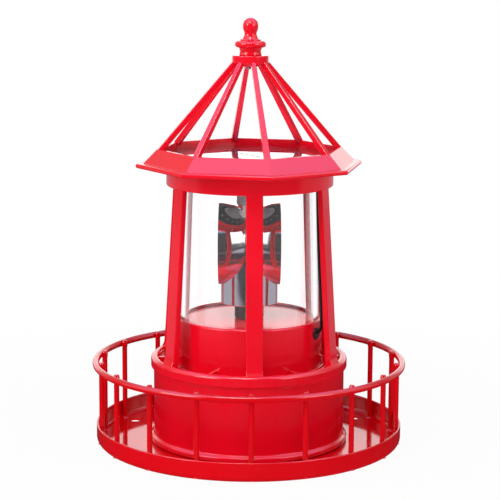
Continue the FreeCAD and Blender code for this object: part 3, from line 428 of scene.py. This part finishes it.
def draw_cell_lines(material):
    """Two silver bars along each cell, and fine lines across it."""
    tree = material.node_tree
    link = tree.links.new
    shader = tree.nodes["Principled BSDF"]
    place = tree.nodes.new("ShaderNodeTexCoord")
    turn = tree.nodes.new("ShaderNodeMapping")
    turn.inputs["Rotation"].default_value = (0.0, 0.0, -math.radians(CELL_HEADING))
    split = tree.nodes.new("ShaderNodeSeparateXYZ")
    link(place.outputs["Object"], turn.inputs["Vector"])
    link(turn.outputs["Vector"], split.inputs["Vector"])

    def thin_line(value, half_pitch, offset, half_width):
        fold = tree.nodes.new("ShaderNodeMath")
        fold.operation = "PINGPONG"
        fold.inputs[1].default_value = half_pitch
        near = tree.nodes.new("ShaderNodeMath")
        near.operation = "COMPARE"
        near.inputs[1].default_value = offset
        near.inputs[2].default_value = half_width
        link(value, fold.inputs[0])
        link(fold.outputs["Value"], near.inputs[0])
        return near.outputs["Value"]

    either = tree.nodes.new("ShaderNodeMath")
    either.operation = "MAXIMUM"
    bars = thin_line(split.outputs["Y"], half_pitch=6.8 * MM, offset=3.1 * MM,
                     half_width=0.35 * MM)
    fine_lines = thin_line(split.outputs["X"], half_pitch=0.9 * MM, offset=0.0,
                           half_width=0.07 * MM)
    link(bars, either.inputs[0])
    link(fine_lines, either.inputs[1])
    silver = tree.nodes.new("ShaderNodeMix")
    silver.data_type = "RGBA"
    silver.inputs["B"].default_value = (0.5, 0.52, 0.55, 1.0)
    link(shader.inputs["Base Color"].links[0].from_socket, silver.inputs["A"])
    link(either.outputs["Value"], silver.inputs["Factor"])
    link(silver.outputs["Result"], shader.inputs["Base Color"])


draw_cell_lines(solar_cell)


def make_clear(name, colour, rough):
    """Clear acrylic or epoxy. Light for what stands inside passes straight through."""
    material, shader = new_material(name, Transmission_Weight=1.0, IOR=1.49, Metallic=0.0,
                                    Roughness=rough)
    shader.inputs["Base Color"].default_value = (*colour, 1.0)
    tree = material.node_tree
    path = tree.nodes.new("ShaderNodeLightPath")
    clear = tree.nodes.new("ShaderNodeBsdfTransparent")
    choose = tree.nodes.new("ShaderNodeMixShader")
    output = tree.nodes["Material Output"]
    tree.links.new(path.outputs["Is Shadow Ray"], choose.inputs["Fac"])
    tree.links.new(shader.outputs["BSDF"], choose.inputs[1])
    tree.links.new(clear.outputs["BSDF"], choose.inputs[2])
    tree.links.new(choose.outputs["Shader"], output.inputs["Surface"])
    return material


clear_lens = make_clear("clear_lens", (0.99, 0.99, 0.99), 0.0)
lamp_clear = make_clear("lamp_clear", (0.97, 0.96, 0.95), 0.05)

finishes = {
    "red_enamel": red_enamel, "red_plastic": red_plastic, "clear_lens": clear_lens,
    "chrome": chrome, "hub_black": hub_black, "black_plastic": black_plastic,
    "lamp_grey": lamp_grey, "lamp_white": lamp_white, "lamp_clear": lamp_clear,
    "screw_steel": screw_steel, "bushing_brass": bushing_brass, "gear_nylon": gear_nylon,
    "gearbox_grey": gearbox_grey, "motor_steel": motor_steel, "circuit_green": circuit_green,
    "cell_wrap": cell_wrap, "cable_black": cable_black, "solar_backing": solar_backing,
    "solar_cell": solar_cell,
}

for subpart in frame["record"]["subparts"]:
    node = frame["nodes"][subpart["node"]]
    node.data.materials.clear()
    node.data.materials.append(finishes[subpart["material_slot"]])


# ---- Gallery ---------------------------------------------------------------------------
def make_tray():
    """Sheet tray with a rolled rim, its floor pressed up in the middle, and its holes."""
    tray = spin_piece("round_tray", [
        (47.0, 2.0), (53.4, 2.0, 1.4), (55.4, 0.0, 1.4), (94.0, 0.0, 4.0), (94.0, 12.0, 0.6),
        (92.6, 12.0, 0.6), (92.6, 10.7, 0.25), (93.0, 10.3, 0.25), (93.0, 1.0, 3.0),
        (55.8, 1.0, 1.0), (53.8, 3.0, 1.0), (47.0, 3.0)], steps=180)
    for place in range(HOLE_COUNT):
        heading = POST_HEADING + 360.0 / HOLE_COUNT * place
        hole = at_heading(HOLE_CIRCLE, heading)
        subtract(tray, rod("hole_drill", HOLE_RADIUS, -2.0 * MM, 4.0 * MM, hole.xy))
        hole = at_heading(DECK_SCREW_CIRCLE, heading)
        subtract(tray, rod("screw_drill", SCREW_HOLE_RADIUS, -2.0 * MM, 6.0 * MM, hole.xy))
    finish_shape(tray)
    dress(tray, red_enamel, "red_enamel", "root", "deck_tray")


def make_rail():
    """Round wire, closed by one weld that stands out a little."""
    wire = 2.0
    low = rail_height / MM - wire
    high = rail_height / MM + wire
    inner = rail_radius / MM - wire
    outer = rail_radius / MM + wire
    round_off = wire - 0.01
    rail = spin_piece("railing_ring", [
        (inner, low, round_off), (outer, low, round_off), (outer, high, round_off),
        (inner, high, round_off)], steps=200)
    work_on(rail)
    weld = at_heading(rail_radius, RAIL_WELD_HEADING, rail_height)
    pick("VERT", lambda vertex: (vertex.co - weld).length < RAIL_WELD_REACH)
    bpy.ops.transform.shrink_fatten(value=RAIL_WELD_SWELL)
    leave_edit()
    finish_shape(rail)
    dress(rail, red_enamel, "red_enamel", "root", "gallery_rail")


def make_balusters():
    """One bar with its weld beads, copied round the tray."""
    bar = spin_piece("baluster", [
        (0.0, 1.0), (2.5, 1.0), (2.0, 1.35, 0.3), (1.6, 2.2, 0.6), (1.6, 47.4, 0.8),
        (1.85, 48.4, 0.8), (1.85, 50.6, 0.8), (1.6, 51.2, 0.4), (1.6, 52.0, 0.8), (0.0, 52.0)],
        steps=24)
    bar.location = (0.0, BALUSTER_INSET - rail_radius, 0.0)
    finish_shape(bar)
    for place in range(BALUSTER_COUNT):
        heading = BALUSTER_HEADING + 360.0 / BALUSTER_COUNT * place
        piece = copy_at(bar, "baluster_bar_%d" % (place + 1), heading)
        dress(piece, red_enamel, "red_enamel", "root", "baluster_%02d" % (place + 1))
    bpy.data.objects.remove(bar)


# ---- Drum and light base ---------------------------------------------------------------
def make_drum():
    """Drum with a beaded foot and a deck that carries the light base."""
    drum = spin_piece("drum_shell", [
        (56.4, 1.0), (58.9, 1.0, 0.4), (60.7, 2.2, 1.2), (60.7, 4.5, 1.2), (58.6, 5.7, 0.8),
        (58.6, DRUM_TOP, 0.5), (34.0, DRUM_TOP), (34.0, DRUM_DECK_LOW),
        (56.4, DRUM_DECK_LOW, 1.0)], steps=180)
    dress(drum, red_plastic, "red_plastic", "root", "drum_housing")


def make_light_base():
    """Inner drum with a raised rim round its recessed top, and the cable's hole in its side."""
    base = spin_piece("light_base_shell", [
        (42.8, DRUM_TOP), (44.8, DRUM_TOP), (44.8, BASE_RIM_TOP, 1.25), (43.3, BASE_RIM_TOP, 0.2),
        (43.3, BASE_FLOOR, 0.4), (4.01, BASE_FLOOR), (4.01, 75.1), (42.8, 75.1, 1.0)], steps=160)
    in_wall = at_heading(44.0 * MM, CABLE_HEADING, CABLE_HOLE_HEIGHT)
    bpy.ops.mesh.primitive_cylinder_add(
        vertices=32, radius=CABLE_HOLE_RADIUS, depth=8.0 * MM, location=in_wall,
        rotation=(math.radians(90.0), 0.0, math.radians(CABLE_HEADING)))
    subtract(base, bpy.context.object)
    finish_shape(base)
    dress(base, red_plastic, "red_plastic", "root", "light_base")


# ---- Lantern ---------------------------------------------------------------------------
def side_slab(name, points, width, bevel):
    """An outline (r, z) given a width across, with softened edges. It points along +X."""
    piece = draw_outline(name, points)
    bpy.ops.mesh.select_all(action="SELECT")
    bpy.ops.mesh.remove_doubles(threshold=SEAM)
    bpy.ops.mesh.edge_face_add()
    bpy.ops.mesh.extrude_region_move(TRANSFORM_OT_translate={"value": (0.0, width, 0.0)})
    bpy.ops.mesh.select_all(action="SELECT")
    bpy.ops.transform.translate(value=(0.0, -width / 2.0, 0.0))
    bpy.ops.mesh.normals_make_consistent(inside=False)
    sides = width / 2.0 - 0.01 * MM
    pick("EDGE", lambda edge: abs(middle(edge).y) > sides)
    bpy.ops.mesh.bevel(offset=bevel, segments=3, affect="EDGES")
    leave_edit()
    return piece


def make_lantern_frame():
    """One moulding: foot with its moat, six posts, the ribs between them and the upper ring."""
    foot = spin_piece("lantern_foot", [
        (45.1, DRUM_TOP), (60.3, DRUM_TOP, 0.9), (60.3, 54.0, 2.4), (55.3, 54.0, 2.4),
        (55.3, MOAT_FLOOR, 0.8), (46.6, MOAT_FLOOR, 0.8), (46.6, 50.0, 0.4), (45.1, 50.0, 0.4)],
        steps=180)
    ring = spin_piece("lantern_ring", [
        (47.5, 159.3, 0.5), (50.7, 159.3, 1.0), (50.7, 170.0, 0.3), (47.5, 170.0), (47.5, 167.5),
        (38.0, 167.5), (38.0, CEILING_TOP), (47.5, CEILING_TOP)], steps=160)
    side = rounded([
        (53.7, 48.2), (59.2, 48.2), (59.2, 53.2, 1.2), (57.4, 56.6, 6.0), (56.4, 68.0, 12.0),
        (50.4, 160.3), (47.2, 160.3)], steps=6)
    post = side_slab("lantern_post", side, POST_WIDTH, 0.55 * MM)
    post.rotation_euler.z = math.radians(-90.0)
    finish_shape(post)
    moat_rib = side_slab("moat_rib", [Vector(corner) * MM for corner in (
        (45.4, 47.2), (55.8, 47.2), (55.8, 52.6), (45.4, 52.6))], MOAT_RIB_WIDTH, 0.3 * MM)
    moat_rib.rotation_euler.z = math.radians(-90.0)
    finish_shape(moat_rib)
    parts = [foot, ring]
    step = 360.0 / POST_COUNT
    for place in range(POST_COUNT):
        heading = POST_HEADING + step * place
        parts.append(copy_at(post, "post_%d" % place, heading))
        parts.append(copy_at(moat_rib, "rib_%d" % place, heading + step / 2.0))
    bpy.data.objects.remove(post)
    bpy.data.objects.remove(moat_rib)
    frame_piece = join(parts, "lantern_moulding")
    finish_shape(frame_piece)
    dress(frame_piece, red_plastic, "red_plastic", "root", "lantern_frame")


def make_lens():
    lens = spin_piece("clear_cylinder", [
        (39.8, BASE_FLOOR, 0.3), (43.0, BASE_FLOOR, 1.2), (41.2, CEILING_LOW, 0.2),
        (38.0, CEILING_LOW, 0.2)], steps=200)
    dress(lens, clear_lens, "clear_lens", "root", "lens_cylinder")


def make_ceiling():
    """Red plate with a ringed dark cover disc under its middle, and twelve small pan heads."""
    ceiling = spin_piece("ceiling_ring", [
        (0.0, 163.7), (29.9, 163.7), (29.9, CEILING_LOW), (47.2, CEILING_LOW), (47.2, CEILING_TOP),
        (0.0, CEILING_TOP)], steps=128)
    for place in range(ROOF_SCREW_COUNT):
        heading = ROOF_SCREW_HEADING + 360.0 / ROOF_SCREW_COUNT * place
        hole = at_heading(ROOF_SCREW_CIRCLE, heading)
        subtract(ceiling, rod("screw_drill", SCREW_HOLE_RADIUS, 160.0 * MM, 168.0 * MM, hole.xy,
                              sides=24))
    finish_shape(ceiling)
    dress(ceiling, red_plastic, "red_plastic", "root", "ceiling_plate")
    disc = spin_piece("lamp_cover_disc", [
        (12.2, 163.0, 0.2), (15.0, 163.0, 0.2), (15.3, 162.4, 0.2), (16.6, 162.4, 0.2),
        (17.0, 163.0, 0.2), (22.6, 163.0, 0.2), (22.9, 162.4, 0.2), (24.2, 162.4, 0.2),
        (24.6, 163.0, 0.2), (29.5, 163.0, 0.3), (29.5, 163.7), (12.2, 163.7)], steps=128)
    button = spin_piece("cover_button", [
        (0.0, 163.0), (1.3, 163.0), (1.3, 162.2, 0.5), (0.0, 162.2)], steps=20)
    button.location = (0.0, -19.8 * MM, 0.0)
    finish_shape(button)
    buttons = []
    for place in range(COVER_BUTTON_COUNT):
        heading = 15.0 + 360.0 / COVER_BUTTON_COUNT * place
        buttons.append(copy_at(button, "cover_button_%d" % place, heading))
    bpy.data.objects.remove(button)
    fixings = join(buttons, "cover_fixings")
    finish_shape(fixings)
    dress(fixings, screw_steel, "screw_steel", "root")
    dress(disc, black_plastic, "black_plastic", "root")


# ---- Turning reflector -----------------------------------------------------------------
def ball(name, side, radius):
    """Ball at a bowl's middle, on one side (1 or -1) of the head."""
    bpy.ops.mesh.primitive_uv_sphere_add(segments=96, ring_count=48, radius=radius,
                                         location=(side * BOWL_OFFSET, 0.0, HEAD_HEIGHT),
                                         rotation=(0.0, math.radians(90.0), 0.0))
    piece = bpy.context.object
    piece.name = name
    bpy.ops.object.transform_apply(location=True, rotation=True, scale=True)
    return piece


def make_bowls():
    """Two bowls back to back: a ball cut by the head's middle plane and by its rim's plane,
    mirrored, and given its wall inwards."""
    bowls = ball("bowls", 1.0, BOWL_RADIUS)
    work_on(bowls)
    bpy.ops.mesh.select_all(action="SELECT")
    bpy.ops.mesh.bisect(plane_co=(BOWL_OFFSET, 0, 0), plane_no=(1, 0, 0), clear_outer=True)
    bpy.ops.mesh.select_all(action="SELECT")
    bpy.ops.mesh.bisect(plane_co=(0, 0, 0), plane_no=(1, 0, 0), clear_inner=True)
    bpy.ops.mesh.select_all(action="SELECT")
    bpy.ops.mesh.duplicate()
    bpy.ops.transform.mirror(orient_type="GLOBAL", constraint_axis=(True, False, False),
                             center_override=(0.0, 0.0, 0.0))
    tidy_mesh()
    leave_edit()
    wall = bowls.modifiers.new("wall", "SOLIDIFY")
    wall.thickness = BOWL_WALL
    wall.offset = -1.0
    wall.use_even_offset = True
    bpy.ops.object.modifier_apply(modifier="wall")
    return bowls


def halved(piece, name, keep_upper):
    """Copy of the head's one half, a hair short of the parting plane."""
    half = copy_at(piece, name, 0.0)
    work_on(half)
    bpy.ops.mesh.select_all(action="SELECT")
    sign = 1.0 if keep_upper else -1.0
    bpy.ops.mesh.bisect(plane_co=(0, 0, HEAD_HEIGHT + sign * PARTING_GAP), plane_no=(0, 0, 1),
                        use_fill=True, clear_inner=keep_upper, clear_outer=not keep_upper)
    leave_edit()
    return half


def make_reflector():
    """The head's upper half, open for the lamp, and the lower half on its cup."""
    bowls = make_bowls()
    upper = halved(bowls, "reflector_upper_half", True)
    lower = halved(bowls, "reflector_lower_half", False)
    bpy.data.objects.remove(bowls)
    subtract(upper, rod("lamp_hole_drill", LAMP_OPENING, HEAD_HEIGHT, HEAD_HEIGHT + 40.0 * MM,
                        sides=64))
    cup = spin_piece("reflector_cup", [
        (16.1, 86.8, 0.3), (17.4, 86.8, 0.5), (17.4, 112.0), (16.1, 112.0), (16.1, CUP_WEB_TOP),
        (5.0, CUP_WEB_TOP), (5.0, CUP_WEB_LOW), (16.1, CUP_WEB_LOW)], steps=128)
    for side in (-1.0, 1.0):
        subtract(cup, ball("room_ball", side, BOWL_RADIUS - CUP_OVERLAP))
    lower = join([lower, cup], "reflector_lower_half")
    for piece, node in ((upper, "reflector_upper"), (lower, "reflector_lower")):
        finish_shape(piece, 30.0)
        dress(piece, chrome, "chrome", "reflector", node)


def make_hub():
    hub = spin_piece("turning_hub", [
        (2.01, 77.6), (8.9, 77.6, 0.6), (8.9, CUP_WEB_LOW, 0.3), (5.0, CUP_WEB_LOW),
        (5.0, CUP_WEB_TOP, 0.3), (2.01, CUP_WEB_TOP)], steps=64)
    dress(hub, hub_black, "hub_black", "reflector", "spindle_hub")


# ---- Lamp ------------------------------------------------------------------------------
def make_lamp():
    """Holder under the ceiling, and the tapered sleeve that carries the lamp."""
    holder = spin_piece("lamp_socket", [
        (0.0, HOLDER_LOW), (7.9, HOLDER_LOW, 0.6), (7.9, 161.9, 0.6), (12.0, 161.9, 0.5),
        (12.0, CEILING_LOW), (0.0, CEILING_LOW)], steps=64)
    dress(holder, lamp_grey, "lamp_grey", "root", "lamp_holder")
    sleeve = spin_piece("lamp_cone", [
        (2.55, 138.0, 0.1), (3.3, 138.0, 0.2), (4.6, HOLDER_LOW), (1.4, HOLDER_LOW), (1.4, 142.0),
        (2.55, 142.0)], steps=48)
    dress(sleeve, lamp_white, "lamp_white", "root", "lamp_sleeve")


# ---- Roof ------------------------------------------------------------------------------
def make_roof():
    """Eight-sided skirt with its brim, eight ribs that grow thinner upwards, and the hub."""
    skirt = spin_piece("roof_skirt", [
        (ROOF_OPENING, 181.6, 0.3), (56.8, 181.6, 0.5), (65.0, BRIM_TOP, 0.8),
        (ROOF_REACH, BRIM_TOP, 1.2), (ROOF_REACH, BRIM_LOW, 1.2), (62.8, BRIM_LOW), (62.8, 172.6),
        (56.9, 177.6), (56.8, 170.0), (ROOF_OPENING, 170.0), (ROOF_OPENING, 173.4), (0.0, 173.4),
        (0.0, ROOF_FLOOR), (ROOF_OPENING, ROOF_FLOOR)],
        steps=ROOF_SIDES, heading=ROOF_HEADING, arc_steps=6)
    foot = Vector((55.32, 180.2)) * MM
    top = Vector((7.8, 235.0)) * MM
    run = (top - foot).normalized()
    half_depth = 1.7 * MM
    outward = Vector((run.y, -run.x)) * half_depth
    foot_width = 3.9
    top_width = 2.8
    half_way = 210.0 * MM
    rib = side_slab("roof_rib", [foot - outward, foot + outward, top + outward, top - outward],
                    foot_width * MM, 0.5 * MM)
    work_on(rib)
    pick("VERT", lambda vertex: vertex.co.z > half_way)
    bpy.ops.transform.resize(value=(1.0, top_width / foot_width, 1.0),
                             center_override=(0.0, 0.0, 0.0))
    leave_edit()
    rib.rotation_euler.z = math.radians(-90.0)
    finish_shape(rib)
    hub = spin_piece("roof_hub", [
        (0.0, 231.1), (7.4, 231.1, 0.5), (11.2, 232.9, 0.8), (11.2, ROOF_HUB_TOP, 0.7),
        (0.0, ROOF_HUB_TOP)], steps=64)
    parts = [skirt, hub]
    for side in range(ROOF_SIDES):
        heading = ROOF_HEADING + 360.0 / ROOF_SIDES * side
        parts.append(copy_at(rib, "roof_rib_%d" % side, heading))
    bpy.data.objects.remove(rib)
    roof = join(parts, "roof_moulding")
    finish_shape(roof, 20.0)
    dress(roof, red_plastic, "red_plastic", "root", "roof_cage")


def make_panel():
    panel = spin_piece("solar_laminate", [
        (0.0, ROOF_FLOOR), (54.2, ROOF_FLOOR), (54.2, 177.0, 0.3), (0.0, 177.0)],
        steps=ROOF_SIDES, heading=ROOF_HEADING)
    dress(panel, solar_backing, "solar_backing", "root", "solar_panel")


def make_finial():
    finial = spin_piece("turned_finial", [
        (0.0, ROOF_HUB_TOP), (7.0, ROOF_HUB_TOP, 0.4), (6.3, 239.9, 4.0), (7.0, 242.2, 0.3),
        (9.55, 242.2, 1.9), (9.55, 246.2, 1.9), (6.35, 246.2, 0.3), (6.35, 247.2, 0.4),
        (4.9, 247.2, 0.4), (4.2, 248.6, 2.0), (3.5, 250.6, 3.0), (4.7, 253.4, 3.2),
        (4.7, FINIAL_TOP, 4.5), (0.0, FINIAL_TOP)], steps=72, arc_steps=8)
    dress(finial, red_plastic, "red_plastic", "root", "finial")


make_tray()
make_rail()
make_balusters()
make_drum()
make_light_base()
make_lantern_frame()
make_lens()
make_ceiling()
make_reflector()
make_hub()
make_lamp()
make_roof()
make_panel()
make_finial()


# ---- Studio: camera, floor, lamps and world --------------------------------------------
CAMERA_TARGET = Vector((0.33 * MM, 0.0, 118.9 * MM))
CAMERA_DISTANCE = 1087.9 * MM
CAMERA_ELEVATION = math.radians(10.02)
CAMERA_ROLL = math.radians(0.30)
CAMERA_LENS = 128.16
FLOOR_RADIUS = 1.6
FLOOR_DROP = 0.3 * MM
LENS_BOOST = 0.2
FILL_LIGHT = 0.25


def place_camera():
    """Camera from slightly above the front, far off and with a long lens."""
    data = bpy.data.cameras.new("camera")
    data.lens = CAMERA_LENS
    data.sensor_width = 36.0
    camera = bpy.data.objects.new("camera", data)
    bpy.context.scene.collection.objects.link(camera)
    back = Vector((0.0, -math.cos(CAMERA_ELEVATION), math.sin(CAMERA_ELEVATION)))
    camera.location = CAMERA_TARGET + back * CAMERA_DISTANCE
    camera.rotation_euler = (-back).to_track_quat("-Z", "Y").to_euler()
    camera.rotation_euler.rotate_axis("Z", CAMERA_ROLL)
    bpy.context.scene.camera = camera


def ramp(tree, value, low, high, to_low, to_high):
    """Smooth step from one level to another while a value goes from low to high."""
    node = tree.nodes.new("ShaderNodeMapRange")
    node.interpolation_type = "SMOOTHSTEP"
    for label, number in (("From Min", low), ("From Max", high), ("To Min", to_low),
                          ("To Max", to_high)):
        node.inputs[label].default_value = number
    tree.links.new(value, node.inputs["Value"])
    return node.outputs["Result"]


def combine(tree, operation, first, second):
    """Result of one math operation on two sockets, or on a socket and a number."""
    node = tree.nodes.new("ShaderNodeMath")
    node.operation = operation
    for place, value in enumerate((first, second)):
        if isinstance(value, float):
            node.inputs[place].default_value = value
        else:
            tree.links.new(value, node.inputs[place])
    return node.outputs["Value"]


def bounce_masks(tree):
    """1 for rays that left a shiny surface, and 1 for rays that left a matt one. Rays that only
    went through the lens, or along inside its wall, are neither."""
    path = tree.nodes.new("ShaderNodeLightPath")
    in_wall = tree.nodes.new("ShaderNodeMath")
    in_wall.operation = "COMPARE"
    in_wall.inputs[1].default_value = 2.0
    in_wall.inputs[2].default_value = 0.5
    tree.links.new(path.outputs["Transmission Depth"], in_wall.inputs[0])
    bounced = combine(tree, "MINIMUM", path.outputs["Glossy Depth"], 1.0)
    outside = combine(tree, "SUBTRACT", 1.0, in_wall.outputs["Value"])
    return (combine(tree, "MULTIPLY", bounced, outside),
            combine(tree, "MINIMUM", path.outputs["Diffuse Depth"], 1.0))


def through_glass(tree):
    """White, and a little more for rays that went through the lens, which dims them."""
    path = tree.nodes.new("ShaderNodeLightPath")
    passed = combine(tree, "MINIMUM", path.outputs["Transmission Depth"], 1.0)
    return combine(tree, "ADD", combine(tree, "MULTIPLY", passed, LENS_BOOST), 1.0)


def lay_floor():
    """White floor that shows as the backdrop's white, but for a faint shadow. From below it is
    clear, so that the underside can be looked at."""
    bpy.ops.mesh.primitive_circle_add(vertices=64, radius=FLOOR_RADIUS, fill_type="NGON",
                                      location=(0.0, 0.0, -FLOOR_DROP))
    floor = bpy.context.object
    floor.name = "floor"
    material = bpy.data.materials.new("white_floor")
    material.use_nodes = True
    tree = material.node_tree
    link = tree.links.new
    tree.nodes.remove(tree.nodes["Principled BSDF"])
    place = tree.nodes.new("ShaderNodeTexCoord")
    length = tree.nodes.new("ShaderNodeVectorMath")
    length.operation = "LENGTH"
    fade = tree.nodes.new("ShaderNodeMapRange")
    fade.inputs["From Min"].default_value = 0.12
    fade.inputs["From Max"].default_value = 0.4
    fade.inputs["To Min"].default_value = 0.95
    fade.inputs["To Max"].default_value = 1.0
    split = tree.nodes.new("ShaderNodeSeparateXYZ")
    link(place.outputs["Object"], split.inputs["Vector"])
    dark_front = ramp(tree, split.outputs["Y"], -0.45, -0.28, 0.0, 1.0)
    away = ramp(tree, length.outputs["Value"], 0.32, 0.42, 0.0, 0.40)
    grey = combine(tree, "ADD", combine(tree, "MULTIPLY", dark_front, away), 0.03)
    white = tree.nodes.new("ShaderNodeEmission")
    link(through_glass(tree), white.inputs["Strength"])
    seen = tree.nodes.new("ShaderNodeEmission")
    seen.inputs["Color"].default_value = (1.0, 0.94, 1.08, 1.0)
    cloth = tree.nodes.new("ShaderNodeBsdfDiffuse")
    cloth.inputs["Color"].default_value = (0.9, 0.9, 0.9, 1.0)
    shaded = tree.nodes.new("ShaderNodeMixShader")
    choose = tree.nodes.new("ShaderNodeMixShader")
    mirrored, scattered = bounce_masks(tree)
    in_gloss = combine(tree, "MULTIPLY", mirrored, combine(tree, "SUBTRACT", 1.0, scattered))
    output = tree.nodes["Material Output"]
    link(place.outputs["Object"], length.inputs[0])
    link(length.outputs["Value"], fade.inputs["Value"])
    link(grey, seen.inputs["Strength"])
    link(fade.outputs["Result"], shaded.inputs["Fac"])
    link(cloth.outputs["BSDF"], shaded.inputs[1])
    link(white.outputs["Emission"], shaded.inputs[2])
    link(in_gloss, choose.inputs["Fac"])
    link(shaded.outputs["Shader"], choose.inputs[1])
    link(seen.outputs["Emission"], choose.inputs[2])
    side = tree.nodes.new("ShaderNodeNewGeometry")
    from_below = tree.nodes.new("ShaderNodeMixShader")
    open_view = tree.nodes.new("ShaderNodeBsdfTransparent")
    link(side.outputs["Backfacing"], from_below.inputs["Fac"])
    link(choose.outputs["Shader"], from_below.inputs[1])
    link(open_view.outputs["BSDF"], from_below.inputs[2])
    link(from_below.outputs["Shader"], output.inputs["Surface"])
    floor.data.materials.append(material)


def hang_lamp(name, place, size, watts, mirrored=True, aim=(0.0, 0.0, 0.13)):
    """Square softbox, aimed at the head unless told otherwise. Gloss can be kept from seeing it."""
    data = bpy.data.lights.new(name, "AREA")
    data.size = size
    data.energy = watts
    lamp = bpy.data.objects.new(name, data)
    bpy.context.scene.collection.objects.link(lamp)
    lamp.location = place
    beam = Vector(aim) - lamp.location
    lamp.rotation_euler = beam.to_track_quat("-Z", "Y").to_euler()
    lamp.visible_glossy = mirrored
    lamp.visible_transmission = False
    lamp.visible_camera = False


def light_the_world():
    """White to the camera, also through the lens. Gloss mirrors a studio: a bright backdrop low
    behind, side walls, a tall softbox on each side, a bluish light overhead and the dim room
    behind the camera. Matt surfaces get an even fill."""
    world = bpy.data.worlds.new("studio")
    bpy.context.scene.world = world
    world.use_nodes = True
    tree = world.node_tree
    background = tree.nodes["Background"]
    place = tree.nodes.new("ShaderNodeTexCoord")
    split = tree.nodes.new("ShaderNodeSeparateXYZ")
    tree.links.new(place.outputs["Generated"], split.inputs["Vector"])
    flat = tree.nodes.new("ShaderNodeVectorMath")
    flat.operation = "MULTIPLY"
    flat.inputs[1].default_value = (1.0, 1.0, 0.0)
    unit = tree.nodes.new("ShaderNodeVectorMath")
    unit.operation = "NORMALIZE"
    heading = tree.nodes.new("ShaderNodeSeparateXYZ")
    tree.links.new(place.outputs["Generated"], flat.inputs[0])
    tree.links.new(flat.outputs["Vector"], unit.inputs[0])
    tree.links.new(unit.outputs["Vector"], heading.inputs["Vector"])
    backwards = heading.outputs["Y"]
    height = split.outputs["Z"]
    side_wall = ramp(tree, backwards, 0.30, 0.60, 0.13, 0.55)
    front_wall = ramp(tree, backwards, -0.88, -0.80, 0.09, 0.0)
    backdrop = combine(tree, "MULTIPLY", ramp(tree, backwards, 0.72, 0.88, 0.0, 1.25),
                       ramp(tree, height, 0.30, 0.50, 1.0, 0.0))
    softboxes = combine(tree, "MULTIPLY", ramp(tree, backwards, -0.86, -0.76, 0.0, 1.0),
                        ramp(tree, backwards, 0.10, 0.45, 1.0, 0.0))
    softboxes = combine(tree, "MULTIPLY", softboxes, ramp(tree, height, 0.03, 0.17, 0.0, 1.5))
    overhead = ramp(tree, height, 0.56, 0.78, 0.0, 0.95)
    room = combine(tree, "SUBTRACT", side_wall, front_wall)
    for part in (backdrop, softboxes, overhead):
        room = combine(tree, "ADD", room, part)
    mirrored, scattered = bounce_masks(tree)
    straight = combine(tree, "MULTIPLY", combine(tree, "SUBTRACT", 1.0, mirrored),
                       through_glass(tree))
    seen = combine(tree, "ADD", combine(tree, "MULTIPLY", room, mirrored), straight)
    direct = combine(tree, "SUBTRACT", 1.0, scattered)
    strength = combine(tree, "ADD", combine(tree, "MULTIPLY", seen, direct),
                       combine(tree, "MULTIPLY", scattered, FILL_LIGHT))
    tree.links.new(strength, background.inputs["Strength"])
    tint = tree.nodes.new("ShaderNodeMix")
    tint.data_type = "RGBA"
    tint.inputs["A"].default_value = (1.0, 1.0, 1.0, 1.0)
    tint.inputs["B"].default_value = (0.95, 0.95, 1.7, 1.0)
    tinted = combine(tree, "MULTIPLY", ramp(tree, height, 0.50, 0.75, 0.0, 1.0),
                     combine(tree, "MULTIPLY", mirrored, direct))
    tree.links.new(tinted, tint.inputs["Factor"])
    tree.links.new(tint.outputs["Result"], background.inputs["Color"])


place_camera()
lay_floor()
hang_lamp("overhead_softbox", (-0.1, -0.5, 0.9), 0.4, 4.0)
hang_lamp("left_softbox", (-1.0, -0.78, 0.65), 0.6, 7.2)
hang_lamp("right_softbox", (0.9, -0.75, 0.5), 0.5, 2.3)
hang_lamp("front_softbox", (0.1, -1.3, 0.2), 0.5, 0.6, mirrored=False)
hang_lamp("panel_bounce", (0.0, 0.0, 0.1782), 0.07, 0.022, mirrored=False, aim=(0.0, 0.0, 0.24))
light_the_world()
